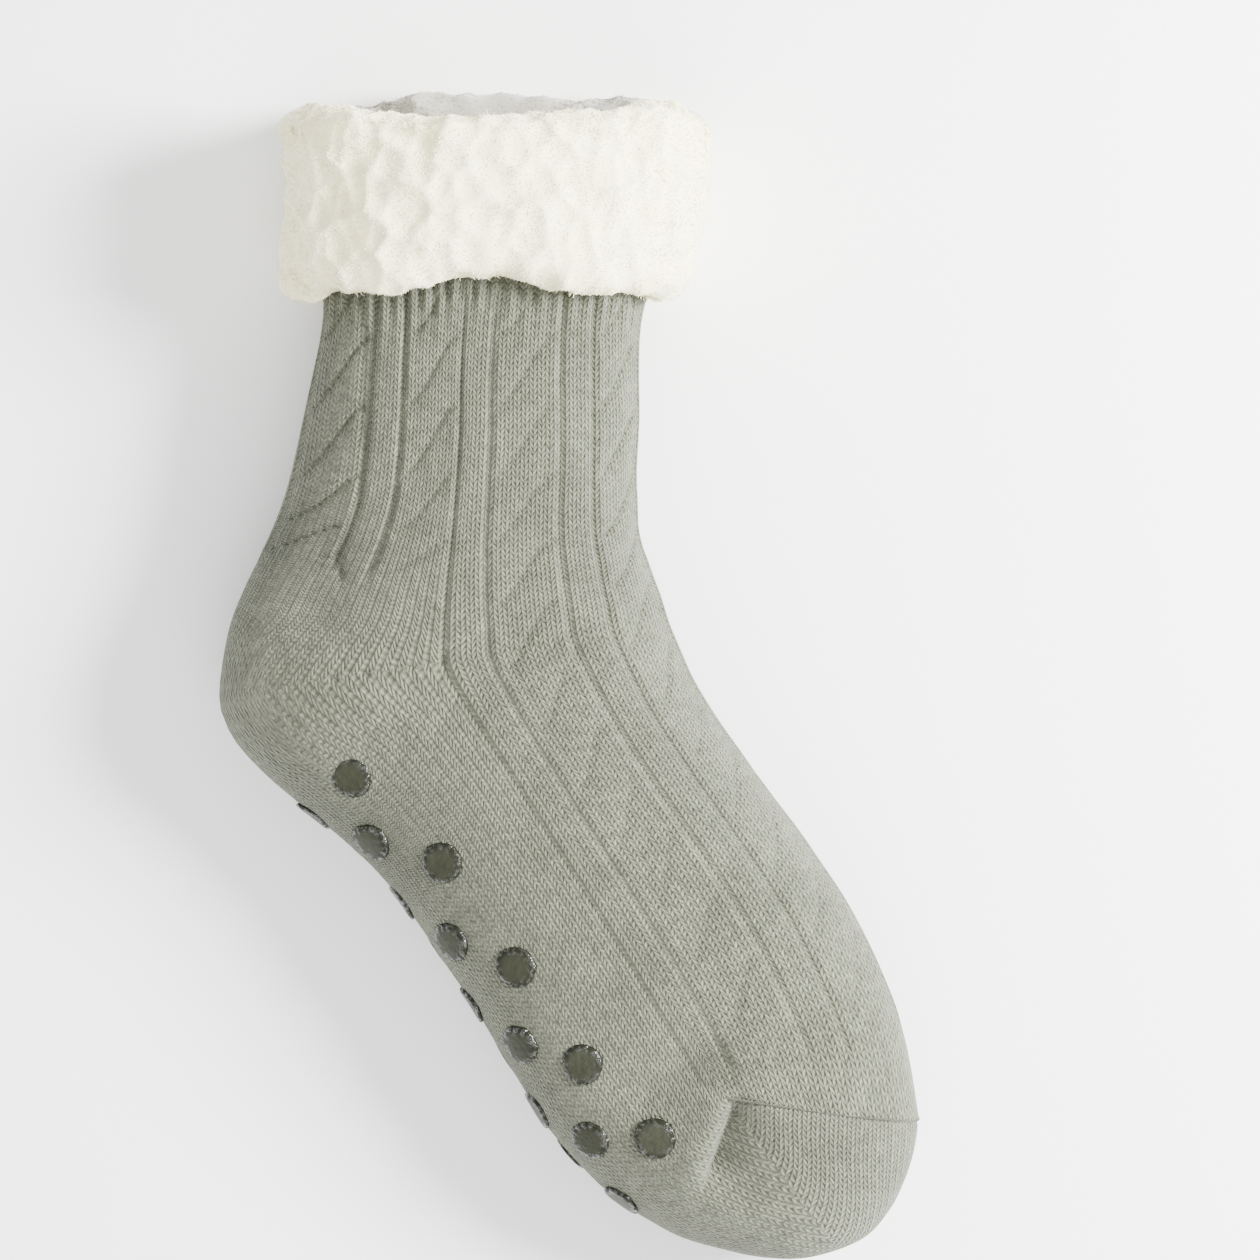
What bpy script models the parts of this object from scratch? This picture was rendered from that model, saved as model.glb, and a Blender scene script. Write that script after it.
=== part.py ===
# Slipper sock, knitted in one piece, with a turned-down fleece cuff and grip studs on its sole.
# It is slack and lies on its side. +X runs along the sole from heel to toe, +Y from the sole to
# the instep, and +Z up from the floor.

import math
from collections import namedtuple

import bmesh
import bpy
from mathutils import Vector

# Foot and leg, in metres
FOOT_LENGTH = 0.240      # heel to toe, along the sole
FOOT_DEPTH = 0.104       # sole to instep, laid flat
FOOT_THICKNESS = 0.052   # height of the foot above the floor
LEG_LENGTH = 0.0945      # ankle to the knitted rim inside the cuff
LEG_DEPTH = 0.091        # back to front of the leg, laid flat
LEG_THICKNESS = 0.044
LEG_ANGLE = math.radians(140.0)  # from the sole's direction round to the leg's
WALL = 0.0024            # knitted fabric
TOE_LIFT = 0.0026        # the closed toe stands a little off the floor

# Fleece cuff, in metres
CUFF_DROP = 0.0430       # knitted rim down to the hem of the turned-down band
FLEECE = 0.0112          # pile and backing of the turned-down band
UNDER_FLEECE = 0.0085    # the same band where the leg presses it on the floor
LINING = 0.0045          # pile inside the leg
LINING_DROP = 0.062      # knitted rim down to where the lining meets the leg's own wall
NEAR_RISE = 0.0085       # the fold above the rim, on the upper layer
FAR_RISE = 0.0145        # the fold above the rim, on the layer underneath
LUMP = 0.0009            # height of the fleece's soft lumps
LUMPS_ROUND = 9          # lumps in one turn round the cuff
LUMP_TWIST = 4.0         # radians by which they turn from the hem to the fold
SCALLOP = 0.0022         # wander of the hem
HEM_WAVES = (3, 7)       # waves of the hem in one turn, slow and quick
HEM_SHARES = (0.6, 0.4)  # of the scallop in each of them

# Grip studs, in metres
STUD_DIAMETER = 0.0112
STUD_HEIGHT = 0.0009
STUD_EDGE = 0.00045      # height of a stud at its rim
STUD_CROWN = 0.86        # share of the radius where its flat top begins
STUD_COLUMN_PITCH = 0.0135
STUD_COLUMN_SHIFT = 0.003  # the print sits this far above the sole's edge line
STUD_TOE_SHIFT = 0.0045  # and this much further at the toe
STUD_LAG = 0.0040        # how far the outer columns fall back at the heel and the toe
STUD_ROWS = 9
STUD_FIRST_ROW = 0.232   # shares of the sole line, heel gore to toe
STUD_LAST_ROW = 0.962

SEAM_THICKNESS = 0.0016  # chain of the toe's closing seam
SEAT_GAP = 0.0003        # between pieces that touch

# Shape of a section
TOP_ROUNDNESS = 2.35     # superellipse exponent above the widest line
FLOOR_ROUNDNESS = 4.0    # and below it, where the fabric lies flat on the floor
MID_SHARE = 0.46         # height of the widest line, as a share of the thickness
PLATEAU = 1.08           # stretch of the lower curve that the floor cuts flat
RAMP_SHARE = 0.3         # share of the sole half where the floor side rises to clear the studs

# Fineness
AROUND = 40              # points round a section, a multiple of 4
STEPS = 2                # sections made for each row of the tables
HEM_STEPS = 4            # points round the cuff's hem, up its face and over its fold
FACE_STEPS = 5
FOLD_STEPS = 7
STUD_SIDES = 12
ARC_STEPS = 96           # points that measure the arc round a section
PROBE = 0.02             # share of a row or a stud over which a direction is measured

QUARTER = AROUND // 4
STUD_CLEAR = STUD_HEIGHT + SEAT_GAP

# Leg sections, from the rim down. Along is a share of LEG_LENGTH above the ankle, the next three
# are places across the leg as shares of LEG_DEPTH, thick is a share of LEG_THICKNESS and lift a
# share of the fleece underneath.
LegRow = namedtuple("LegRow", "along back side front thick lift")
LEG_ROWS = [
    LegRow(1.000, -0.437, 0.082, 0.592, 1.00, 1.00),
    LegRow(0.760, -0.432, 0.058, 0.568, 1.00, 1.00),
    LegRow(0.512, -0.436, 0.030, 0.512, 0.95, 1.00),
    LegRow(0.322, -0.472, 0.015, 0.500, 0.99, 0.72),
    LegRow(0.146, -0.518, 0.010, 0.497, 1.06, 0.36),
    LegRow(0.000, -0.552, 0.002, 0.492, 1.12, 0.12),
]

# Foot sections, from above the heel to the toe seam. Each x is a share of FOOT_LENGTH and each y
# of FOOT_DEPTH, thick is a share of FOOT_THICKNESS and lift a share of TOE_LIFT.
FootRow = namedtuple("FootRow", "back_x back_y side_x side_y front_x front_y thick lift")
FOOT_ROWS = [
    FootRow(-0.064, 0.432, 0.088, 0.826, 0.205, 1.176, 0.97, 0.0),
    FootRow(-0.039, 0.300, 0.132, 0.736, 0.244, 1.137, 0.98, 0.0),
    FootRow(-0.009, 0.175, 0.169, 0.668, 0.274, 1.112, 0.99, 0.0),
    FootRow(0.038, 0.058, 0.190, 0.630, 0.297, 1.089, 1.00, 0.0),
    FootRow(0.082, 0.018, 0.200, 0.621, 0.308, 1.079, 1.00, 0.0),
    FootRow(0.130, 0.014, 0.212, 0.612, 0.321, 1.070, 1.00, 0.0),
    FootRow(0.190, 0.034, 0.234, 0.602, 0.344, 1.055, 1.00, 0.0),
    FootRow(0.253, 0.064, 0.268, 0.586, 0.376, 1.035, 1.00, 0.0),
    FootRow(0.318, 0.080, 0.315, 0.570, 0.418, 1.018, 1.00, 0.0),
    FootRow(0.385, 0.070, 0.380, 0.547, 0.474, 1.007, 1.00, 0.0),
    FootRow(0.454, 0.054, 0.446, 0.526, 0.538, 0.998, 1.00, 0.0),
    FootRow(0.524, 0.033, 0.512, 0.505, 0.608, 0.987, 1.00, 0.0),
    FootRow(0.594, 0.007, 0.578, 0.481, 0.683, 0.966, 0.98, 0.0),
    FootRow(0.664, -0.016, 0.640, 0.456, 0.761, 0.922, 0.96, 0.0),
    FootRow(0.735, -0.012, 0.698, 0.430, 0.842, 0.855, 0.93, 0.35),
    FootRow(0.800, 0.022, 0.750, 0.402, 0.921, 0.746, 0.89, 1.0),
]

# Toe outline, from the end of the sole line round the tip to the toe seam's end on the instep
ToeRow = namedtuple("ToeRow", "x y")
TOE_ROWS = [
    ToeRow(0.846, 0.064),
    ToeRow(0.887, 0.124),
    ToeRow(0.926, 0.200),
    ToeRow(0.963, 0.302),
    ToeRow(0.983, 0.430),
    ToeRow(0.979, 0.530),
    ToeRow(0.964, 0.610),
    ToeRow(0.944, 0.683),
]

ANKLE = Vector((0.041 * FOOT_LENGTH, 0.925 * FOOT_DEPTH))
LEG_AXIS = Vector((math.cos(LEG_ANGLE), math.sin(LEG_ANGLE)))
LEG_FORWARD = Vector((math.sin(LEG_ANGLE), -math.cos(LEG_ANGLE)))

GORE_ROW = len(LEG_ROWS) + 3  # the section that runs out to the heel's corner
LAST_ROW = len(LEG_ROWS) + len(FOOT_ROWS) - 1  # the section that ends at the toe seam

# One section: three places on the floor plan, and the heights of its upper and lower face.
# Off_floor is 1 where the sole half clears the studs, and 0 where it doesn't.
Section = namedtuple("Section", "back side front top base off_floor")


def leg_section(row):
    """Section of the leg, square to the leg's own direction."""
    spot = ANKLE + LEG_AXIS * (row.along * LEG_LENGTH)
    places = [spot + LEG_FORWARD * (share * LEG_DEPTH) for share in (row.back, row.side, row.front)]
    base = row.lift * (UNDER_FLEECE + SEAT_GAP)
    return Section(*places, base + row.thick * LEG_THICKNESS, base, 1.0)


def foot_section(row):
    """Section of the foot, which may bend at the side line."""
    base = row.lift * TOE_LIFT
    return Section(
        Vector((row.back_x * FOOT_LENGTH, row.back_y * FOOT_DEPTH)),
        Vector((row.side_x * FOOT_LENGTH, row.side_y * FOOT_DEPTH)),
        Vector((row.front_x * FOOT_LENGTH, row.front_y * FOOT_DEPTH)),
        base + row.thick * FOOT_THICKNESS,
        base,
        1.0,
    )


ROWS = [leg_section(row) for row in LEG_ROWS] + [foot_section(row) for row in FOOT_ROWS]


def smooth_through(values, place):
    """Catmull-Rom value at a place along a list of numbers or vectors."""
    last = len(values) - 1
    k = max(0, min(int(math.floor(place)), last - 1))
    f = place - k
    a, b = values[k], values[k + 1]
    before = values[k - 1] if k > 0 else a + (a - b)
    after = values[k + 2] if k + 2 <= last else b + (b - a)
    pull = (b - before) * 0.5
    push = (after - a) * 0.5
    return (
        a * (2 * f**3 - 3 * f**2 + 1)
        + pull * (f**3 - 2 * f**2 + f)
        + b * (3 * f**2 - 2 * f**3)
        + push * (f**3 - f**2)
    )


def section_at(place):
    """Section at a place along the sock, 0 at the rim and LAST_ROW at the toe seam."""
    columns = zip(*[row[:5] for row in ROWS])
    back, side, front, top, base = (smooth_through(column, place) for column in columns)
    return Section(back, side, front, top, max(base, 0.0), 1.0)


def section_point(section, angle, offset=0.0):
    """Point of a section. Angle 0 is the sole or back edge, a quarter turn is the upper side line,
    a half turn the instep or front edge. Offset moves the surface out, or in where negative."""
    upper = math.sin(angle) >= 0
    power = 2.0 / (TOP_ROUNDNESS if upper else FLOOR_ROUNDNESS)
    reach = abs(math.cos(angle)) ** power
    rise = abs(math.sin(angle)) ** power
    sole_half = math.cos(angle) > 0
    arm = (section.back if sole_half else section.front) - section.side
    spot = section.side + arm * ((arm.length + offset) / arm.length * reach)
    middle = section.base + MID_SHARE * (section.top - section.base)
    if upper:
        return Vector((spot.x, spot.y, middle + (section.top - middle + offset) * rise))
    floor = section.base - offset
    if sole_half:
        floor += STUD_CLEAR * section.off_floor * min(1.0, reach / RAMP_SHARE)
    low = middle - (middle - section.base + offset) * PLATEAU * rise
    return Vector((spot.x, spot.y, max(low, floor, 0.0)))


def ring(section, offset=0.0):
    """Points all round a section."""
    return [section_point(section, 2 * math.pi * k / AROUND, offset) for k in range(AROUND)]


def rings_at(offset):
    return [ring(section_at(k / STEPS), offset) for k in range(LAST_ROW * STEPS + 1)]


def toe_lines(offset):
    """Lines over the toe cap, each from the seam's upper end over the toe's edge to its lower end.
    They turn round the seam's ends, from the sole to the instep, without the first and last."""
    end = section_at(LAST_ROW)
    tip = [Vector((row.x * FOOT_LENGTH, row.y * FOOT_DEPTH)) for row in TOE_ROWS]
    outline = [end.back] + tip + [end.front]
    count = (len(outline) - 1) * STEPS
    lines = []
    for k in range(1, count):
        edge = smooth_through(outline, k / STEPS)
        line = end._replace(back=edge, off_floor=1.0 - k / count)
        turn = math.pi / (2 * QUARTER)
        lines.append([section_point(line, math.pi / 2 - turn * j, offset) for j in range(2 * QUARTER + 1)])
    return lines


def join_rows(bm, first, second, closed=False):
    """Faces between two rows of vertices. Where both rows share a vertex the face is a triangle."""
    count = len(first)
    for k in range(count if closed else count - 1):
        corners = [first[k], first[(k + 1) % count], second[(k + 1) % count], second[k]]
        face = [v for i, v in enumerate(corners) if v not in corners[:i]]
        bm.faces.new(face)


def finish(name, bm, colour, roughness):
    """Turns a bmesh into a named object with its own plain material."""
    bmesh.ops.recalc_face_normals(bm, faces=bm.faces)
    mesh = bpy.data.meshes.new(name)
    bm.to_mesh(mesh)
    bm.free()
    mesh.shade_smooth()
    mesh.set_sharp_from_angle(angle=math.radians(50.0))
    thing = bpy.data.objects.new(name, mesh)
    bpy.context.collection.objects.link(thing)
    paint(thing, colour, roughness)
    return thing


def paint(thing, colour, roughness):
    material = bpy.data.materials.new(thing.name)
    material.use_nodes = True
    shader = material.node_tree.nodes["Principled BSDF"]
    shader.inputs["Base Color"].default_value = (*colour, 1.0)
    shader.inputs["Roughness"].default_value = roughness
    shader.inputs["Metallic"].default_value = 0.0
    thing.data.materials.append(material)


def sock_skin(bm, offset):
    """One surface of the knitted sock: the tube, then the toe cap. Returns its rim."""
    loops = [[bm.verts.new(p) for p in points] for points in rings_at(offset)]
    for first, second in zip(loops, loops[1:]):
        join_rows(bm, first, second, closed=True)
    last = loops[-1]
    sole_half = [last[k % AROUND] for k in range(QUARTER, -QUARTER - 1, -1)]
    instep_half = [last[k] for k in range(QUARTER, 3 * QUARTER + 1)]
    upper_end, lower_end = sole_half[0], sole_half[-1]
    lines = [sole_half]
    for points in toe_lines(offset):
        lines.append([upper_end] + [bm.verts.new(p) for p in points[1:-1]] + [lower_end])
    lines.append(instep_half)
    for first, second in zip(lines, lines[1:]):
        join_rows(bm, first, second)
    return loops[0]


def make_upper():
    """Leg, heel, sole and toe, knitted in one, open at the top."""
    bm = bmesh.new()
    outer_rim = sock_skin(bm, 0.0)
    inner_rim = sock_skin(bm, -WALL)
    join_rows(bm, outer_rim, inner_rim, closed=True)
    return finish("knit_upper", bm, (0.40, 0.41, 0.34), 0.95)


def leg_depths():
    """Distance of each made section of the leg below the rim."""
    alongs = [row.along for row in LEG_ROWS]
    count = (len(LEG_ROWS) - 1) * STEPS
    return [(1.0 - smooth_through(alongs, k / STEPS)) * LEG_LENGTH for k in range(count)]


LEG_DEPTHS = leg_depths()


def leg_point(depth, k, offset):
    """Point k round the leg, at a depth below the rim, on a straight line between two made
    sections, so that it keeps its distance to the leg's own facets."""
    angle = 2 * math.pi * k / AROUND
    if depth <= 0:
        above = LEG_AXIS * -depth
        return section_point(section_at(0), angle, offset) + Vector((above.x, above.y, 0.0))
    i = max(n for n, d in enumerate(LEG_DEPTHS[:-1]) if d <= depth)
    share = (depth - LEG_DEPTHS[i]) / (LEG_DEPTHS[i + 1] - LEG_DEPTHS[i])
    upper = section_point(section_at(i / STEPS), angle, offset)
    return upper.lerp(section_point(section_at((i + 1) / STEPS), angle, offset), share)


def cuff_profile(k):
    """Cut through the cuff at point k, as pairs of depth below the rim and offset from the leg."""
    angle = 2 * math.pi * k / AROUND
    underneath = 0.5 - 0.5 * math.sin(angle)
    rise = NEAR_RISE + (FAR_RISE - NEAR_RISE) * underneath
    slow, quick = (share * math.sin(waves * angle) for waves, share in zip(HEM_WAVES, HEM_SHARES))
    drop = CUFF_DROP + SCALLOP * (slow + quick)
    outside = SEAT_GAP + FLEECE
    slot = WALL + SEAT_GAP
    inside = slot + LINING
    round_end = FLEECE / 2
    points = []
    face = drop - round_end
    for step in range(HEM_STEPS):
        swing = math.pi * step / HEM_STEPS
        points.append((face + round_end * math.sin(swing), outside - round_end * (1 + math.cos(swing))))
    for step in range(FACE_STEPS):
        share = step / FACE_STEPS
        swell = LUMP * math.sin(math.pi * (step + 1) / (FACE_STEPS + 1))
        lump = swell * math.sin(LUMPS_ROUND * angle + LUMP_TWIST * share)
        points.append((face * (1 - share), outside + lump))
    half_width = (outside + inside) / 2
    for step in range(FOLD_STEPS):
        swing = math.pi * step / (FOLD_STEPS - 1)
        points.append((-rise * math.sin(swing), outside - half_width * (1 - math.cos(swing))))
    stops = [d for d in LEG_DEPTHS if 0 < d < LINING_DROP - round_end]
    points += [(d, -inside) for d in stops] + [(LINING_DROP, -inside), (LINING_DROP, -slot)]
    points += [(d, -slot) for d in reversed(stops)] + [(-SEAT_GAP, -slot), (-SEAT_GAP, SEAT_GAP)]
    points += [(d, SEAT_GAP) for d in stops if d < CUFF_DROP - SCALLOP - round_end]
    return points


def make_cuff():
    """The fleece lining where it comes out of the leg, folds over the rim and hangs down outside."""
    bm = bmesh.new()
    strips = []
    for k in range(AROUND):
        strips.append([bm.verts.new(leg_point(depth, k, offset)) for depth, offset in cuff_profile(k)])
    for first, second in zip(strips, strips[1:] + strips[:1]):
        join_rows(bm, first, second, closed=True)
    return finish("fleece_cuff", bm, (0.88, 0.86, 0.78), 0.9)


def make_toe_seam():
    """The chain that closes the toe, on the line between the toe cap and the instep."""
    end = section_at(LAST_ROW)
    radius = SEAM_THICKNESS / 2
    path = bpy.data.curves.new("toe_seam", "CURVE")
    path.dimensions = "3D"
    path.bevel_depth = radius
    path.bevel_resolution = 1
    path.use_fill_caps = True
    line = path.splines.new("POLY")
    count = 2 * QUARTER + 1
    line.points.add(count - 1)
    for k in range(count):
        spot = section_point(end, math.pi / 2 + math.pi * k / (count - 1), SEAT_GAP + radius)
        line.points[k].co = (*spot, 1.0)
    seam = bpy.data.objects.new("toe_seam", path)
    bpy.context.collection.objects.link(seam)
    paint(seam, (0.33, 0.34, 0.28), 0.95)
    return seam


def skin_point(place, across, offset):
    """Point on the sole, at a place along the sock and an arc distance from its edge line,
    positive on the upper side."""
    section = section_at(place)
    side = 1.0 if across >= 0 else -1.0
    turn = side * math.pi / 2 / ARC_STEPS
    walked = 0.0
    here = section_point(section, 0.0)
    for k in range(ARC_STEPS):
        ahead = section_point(section, turn * (k + 1))
        step = (ahead - here).length
        if walked + step >= abs(across):
            return section_point(section, turn * (k + (abs(across) - walked) / step), offset)
        walked += step
        here = ahead
    return section_point(section, turn * ARC_STEPS, offset)


def sole_line():
    """Places along the sole's edge and the arc length there, from the heel's corner to the toe."""
    steps = (LAST_ROW - GORE_ROW) * 8
    places = [GORE_ROW + k / 8 for k in range(steps + 1)]
    spots = [section_at(place).back for place in places]
    lengths = [0.0]
    for a, b in zip(spots, spots[1:]):
        lengths.append(lengths[-1] + (b - a).length)
    return places, lengths


def place_on_sole(length, places, lengths):
    k = max(n for n, done in enumerate(lengths[:-1]) if done <= length)
    share = (length - lengths[k]) / (lengths[k + 1] - lengths[k])
    return places[k] + (places[k + 1] - places[k]) * share


def make_stud(name, place, across):
    """One printed rubber dot, which follows the sole's curve and is flat on top."""
    here = skin_point(place, across, 0.0)
    along = (here - skin_point(place - PROBE, across, 0.0)) / PROBE
    aside = (skin_point(place, across + PROBE * STUD_DIAMETER, 0.0) - here).normalized()
    skew = along.dot(aside)
    forward = (along - aside * skew).length

    def spot(radius, turn, offset):
        step = radius * math.cos(turn) / forward
        return skin_point(place + step, across + radius * math.sin(turn) - step * skew, offset)

    def circle(radius, offset):
        turns = [2 * math.pi * k / STUD_SIDES for k in range(STUD_SIDES)]
        return [bm.verts.new(spot(radius, turn, offset)) for turn in turns]

    bm = bmesh.new()
    radius = STUD_DIAMETER / 2
    under = circle(radius, SEAT_GAP)
    edge = circle(radius, SEAT_GAP + STUD_EDGE)
    crown = circle(radius * STUD_CROWN, SEAT_GAP + STUD_HEIGHT)
    join_rows(bm, under, edge, closed=True)
    join_rows(bm, edge, crown, closed=True)
    for rim, offset in ((under, SEAT_GAP), (crown, SEAT_GAP + STUD_HEIGHT)):
        centre = bm.verts.new(spot(0.0, 0.0, offset))
        for a, b in zip(rim, rim[1:] + rim[:1]):
            bm.faces.new((a, b, centre))
    return finish(name, bm, (0.09, 0.09, 0.07), 0.35)


def make_studs():
    """Rows of three and rows of two by turns, from the heel to the toe."""
    places, lengths = sole_line()
    studs = []
    for row in range(STUD_ROWS):
        share = row / (STUD_ROWS - 1)
        along = lengths[-1] * (STUD_FIRST_ROW + (STUD_LAST_ROW - STUD_FIRST_ROW) * share)
        columns = (-2, 0, 2) if row % 2 == 0 else (-1, 1)
        for column in columns:
            lag = STUD_LAG * abs(column) / 2 * (2 * share - 1) ** 2
            place = place_on_sole(along - lag, places, lengths)
            across = column * STUD_COLUMN_PITCH + STUD_COLUMN_SHIFT + STUD_TOE_SHIFT * share**2
            studs.append(make_stud(f"grip_stud_{len(studs) + 1:02d}", place, across))
    return studs


def stand_on_origin(things):
    """Puts the middle of the sock's floor plan on the origin."""
    bpy.context.view_layer.update()
    corners = [thing.matrix_world @ Vector(corner) for thing in things for corner in thing.bound_box]
    middle = [(min(c[i] for c in corners) + max(c[i] for c in corners)) / 2 for i in (0, 1)]
    for thing in things:
        thing.location = (-middle[0], -middle[1], 0.0)


def main():
    for thing in list(bpy.data.objects):
        bpy.data.objects.remove(thing)
    stand_on_origin([make_upper(), make_cuff(), make_toe_seam()] + make_studs())


main()
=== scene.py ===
import math
from collections import namedtuple

import bpy
import numpy as np
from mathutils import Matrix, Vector, noise


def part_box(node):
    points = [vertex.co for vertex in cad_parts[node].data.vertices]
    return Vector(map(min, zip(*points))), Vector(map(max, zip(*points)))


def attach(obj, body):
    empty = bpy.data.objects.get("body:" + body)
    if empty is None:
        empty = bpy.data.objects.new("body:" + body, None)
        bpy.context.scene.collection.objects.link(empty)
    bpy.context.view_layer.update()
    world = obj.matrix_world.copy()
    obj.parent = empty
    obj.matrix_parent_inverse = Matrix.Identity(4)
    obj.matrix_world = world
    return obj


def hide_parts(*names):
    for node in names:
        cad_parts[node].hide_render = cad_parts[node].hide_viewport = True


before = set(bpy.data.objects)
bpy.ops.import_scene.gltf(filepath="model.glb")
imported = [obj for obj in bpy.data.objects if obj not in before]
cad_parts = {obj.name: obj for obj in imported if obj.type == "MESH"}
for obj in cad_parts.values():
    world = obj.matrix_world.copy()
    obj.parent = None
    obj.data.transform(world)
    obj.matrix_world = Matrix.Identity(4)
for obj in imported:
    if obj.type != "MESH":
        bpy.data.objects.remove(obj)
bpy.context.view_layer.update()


# The knitted sock
# Leg, heel, sole, instep and toe come off one circular machine as a single tube of heather yarn:
# 104 wales round, flat ribs and rope panels down the leg and along the instep, plain elsewhere.
# The heel and the toe are pockets of short rows, and each leaves a line where its rows turn.

FOOT_LENGTH = 0.240  # heel to toe, along the sole
FOOT_DEPTH = 0.104  # sole to instep, laid flat
FOOT_THICKNESS = 0.052  # height of the foot above the floor
LEG_LENGTH = 0.0945  # ankle to the knitted rim inside the cuff
LEG_DEPTH = 0.091  # back to front of the leg, laid flat
LEG_THICKNESS = 0.044
LEG_ANGLE = math.radians(140.0)  # from the sole's direction round to the leg's
HEM_DEPTH = 0.0430  # knitted rim down to the hem of the turned-down cuff
WALL = 0.0024  # knitted fabric
TOE_LIFT = 0.0026  # the closed toe stands a little off the floor
UNDER_FLEECE = 0.0085  # the cuff where the leg presses it on the floor
STUD_CLEAR = 0.0012  # height that the grip studs keep the sole off the floor
SEAT_GAP = 0.0003  # between pieces that touch
TOP_ROUNDNESS = 2.35  # superellipse exponent above the widest line
FLOOR_ROUNDNESS = 4.0  # and below it, where the fabric lies flat on the floor
MID_SHARE = 0.46  # height of the widest line, as a share of the thickness
PLATEAU = 1.08  # stretch of the lower curve that the floor cuts flat
RAMP_SHARE = 0.3  # share of the sole half where the floor side rises to clear the studs

# Sections across the leg, from the rim to the ankle, as shares of the leg's length and sizes
LegRow = namedtuple("LegRow", "along back side front thick lift")
LEG_ROWS = [
    LegRow(1.000, -0.437, 0.082, 0.592, 1.00, 1.00),
    LegRow(0.760, -0.432, 0.058, 0.568, 1.00, 1.00),
    LegRow(0.512, -0.436, 0.030, 0.512, 0.95, 1.00),
    LegRow(0.322, -0.472, 0.015, 0.500, 0.99, 0.72),
    LegRow(0.146, -0.518, 0.010, 0.497, 1.06, 0.36),
    LegRow(0.000, -0.552, 0.002, 0.492, 1.12, 0.12),
]

# Sections across the foot, from the ankle to the toe's seam, as shares of the foot's sizes
FootRow = namedtuple("FootRow", "back_x back_y side_x side_y front_x front_y thick lift")
FOOT_ROWS = [
    FootRow(-0.064, 0.432, 0.088, 0.826, 0.205, 1.176, 0.97, 0.0),
    FootRow(-0.039, 0.300, 0.132, 0.736, 0.244, 1.137, 0.98, 0.0),
    FootRow(-0.009, 0.175, 0.169, 0.668, 0.274, 1.112, 0.99, 0.0),
    FootRow(0.038, 0.058, 0.190, 0.630, 0.297, 1.089, 1.00, 0.0),
    FootRow(0.082, 0.018, 0.200, 0.621, 0.308, 1.079, 1.00, 0.0),
    FootRow(0.130, 0.014, 0.212, 0.612, 0.321, 1.070, 1.00, 0.0),
    FootRow(0.190, 0.034, 0.234, 0.602, 0.344, 1.055, 1.00, 0.0),
    FootRow(0.253, 0.064, 0.268, 0.586, 0.376, 1.035, 1.00, 0.0),
    FootRow(0.318, 0.080, 0.315, 0.570, 0.418, 1.018, 1.00, 0.0),
    FootRow(0.385, 0.070, 0.380, 0.547, 0.474, 1.007, 1.00, 0.0),
    FootRow(0.454, 0.054, 0.446, 0.526, 0.538, 0.998, 1.00, 0.0),
    FootRow(0.524, 0.033, 0.512, 0.505, 0.608, 0.987, 1.00, 0.0),
    FootRow(0.594, 0.007, 0.578, 0.481, 0.683, 0.966, 0.98, 0.0),
    FootRow(0.664, -0.016, 0.640, 0.456, 0.761, 0.922, 0.96, 0.0),
    FootRow(0.735, -0.012, 0.698, 0.430, 0.842, 0.855, 0.93, 0.35),
    FootRow(0.800, 0.022, 0.750, 0.402, 0.921, 0.746, 0.89, 1.0),
]

# Outline of the toe, from the end of the sole line to the end of the instep
ToeRow = namedtuple("ToeRow", "x y")
TOE_ROWS = [
    ToeRow(0.846, 0.064),
    ToeRow(0.887, 0.124),
    ToeRow(0.926, 0.200),
    ToeRow(0.963, 0.302),
    ToeRow(0.983, 0.430),
    ToeRow(0.979, 0.530),
    ToeRow(0.964, 0.610),
    ToeRow(0.944, 0.683),
]
ANKLE = Vector((0.041 * FOOT_LENGTH, 0.925 * FOOT_DEPTH))
LEG_AXIS = Vector((math.cos(LEG_ANGLE), math.sin(LEG_ANGLE)))
LEG_FORWARD = Vector((math.sin(LEG_ANGLE), -math.cos(LEG_ANGLE)))
LAST_ROW = len(LEG_ROWS) + len(FOOT_ROWS) - 1
GORE_ROW = len(LEG_ROWS) + 3

WALES = 104  # round the tube
RIM_WALES = WALES / 4  # from the sole's edge to the side line
WALE = 0.0023  # one wale's width
COURSE = 0.00155  # one course's height
REPEAT = 13  # wales from one rib to the next
RIB_HALF = 1.5  # wales from a rib's middle to its edge
RIB_RISE = 0.00034
GUTTER_AT = 2.1  # wales from a rib's middle to the groove beside it
GUTTER_WIDTH = 0.32  # wales
GUTTER_DEPTH = 0.00066
GUTTER_BANK = 0.00022  # rise of the wale beyond the groove
BANK_WIDTH = 0.45  # wales
ROPE_PITCH = 12.0  # courses from one rope groove to the next
ROPE_LEFT = 2.6  # wales from the rib's middle to the panel
ROPE_WIDTH = 7.8  # wales
ROPE_DEPTH = 0.00070
ROPE_GROOVE = 0.00060  # half width of the groove between two turns of the rope
ROPE_DOME = 0.000340
FOOT_CALM = 0.36  # share of the relief that is stretched out of the foot
ROW_STEP = 0.00108  # mesh rows along the sock
HEEL_COURSES = 28  # short rows on each side of the heel's gore line
GORE_INNER = 0.91  # share of the half section where the gore line ends at the ankle
GORE_OUTER = 0.31  # and where it fades at the back of the heel
GORE_SHIFT = 4.4  # wales crowded round the heel's back
LEG_SHIFT = 3.2  # and drawn to the side line above it
GORE_REACH = 0.0115  # how far from the line the wales bend
GORE_DIP = 0.0007
GORE_WIDTH = 0.0011
FAR_FROM_GORE = 0.05  # written where no gore line is near
GATHER_DEPTH = 0.0008  # tucks under the cuff
GATHER_REACH = 0.0060
FOLD_DEEP = 0.0045  # a fold this deep is in full painted shade
GRAIN_LIFT = 0.0005  # unevenness of the slack fabric
GRAIN_SCALE = 55.0
SEAM_GROOVE = 0.0006  # depth of the groove that the toe's seam lies in
GROOVE_SHARE = 0.018  # and its width, as a share of the toe cap
SHADE_SHARE = 0.014  # the width of the shade painted beside it
FLOOR_CLEAR = 0.0002  # nothing goes lower


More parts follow.
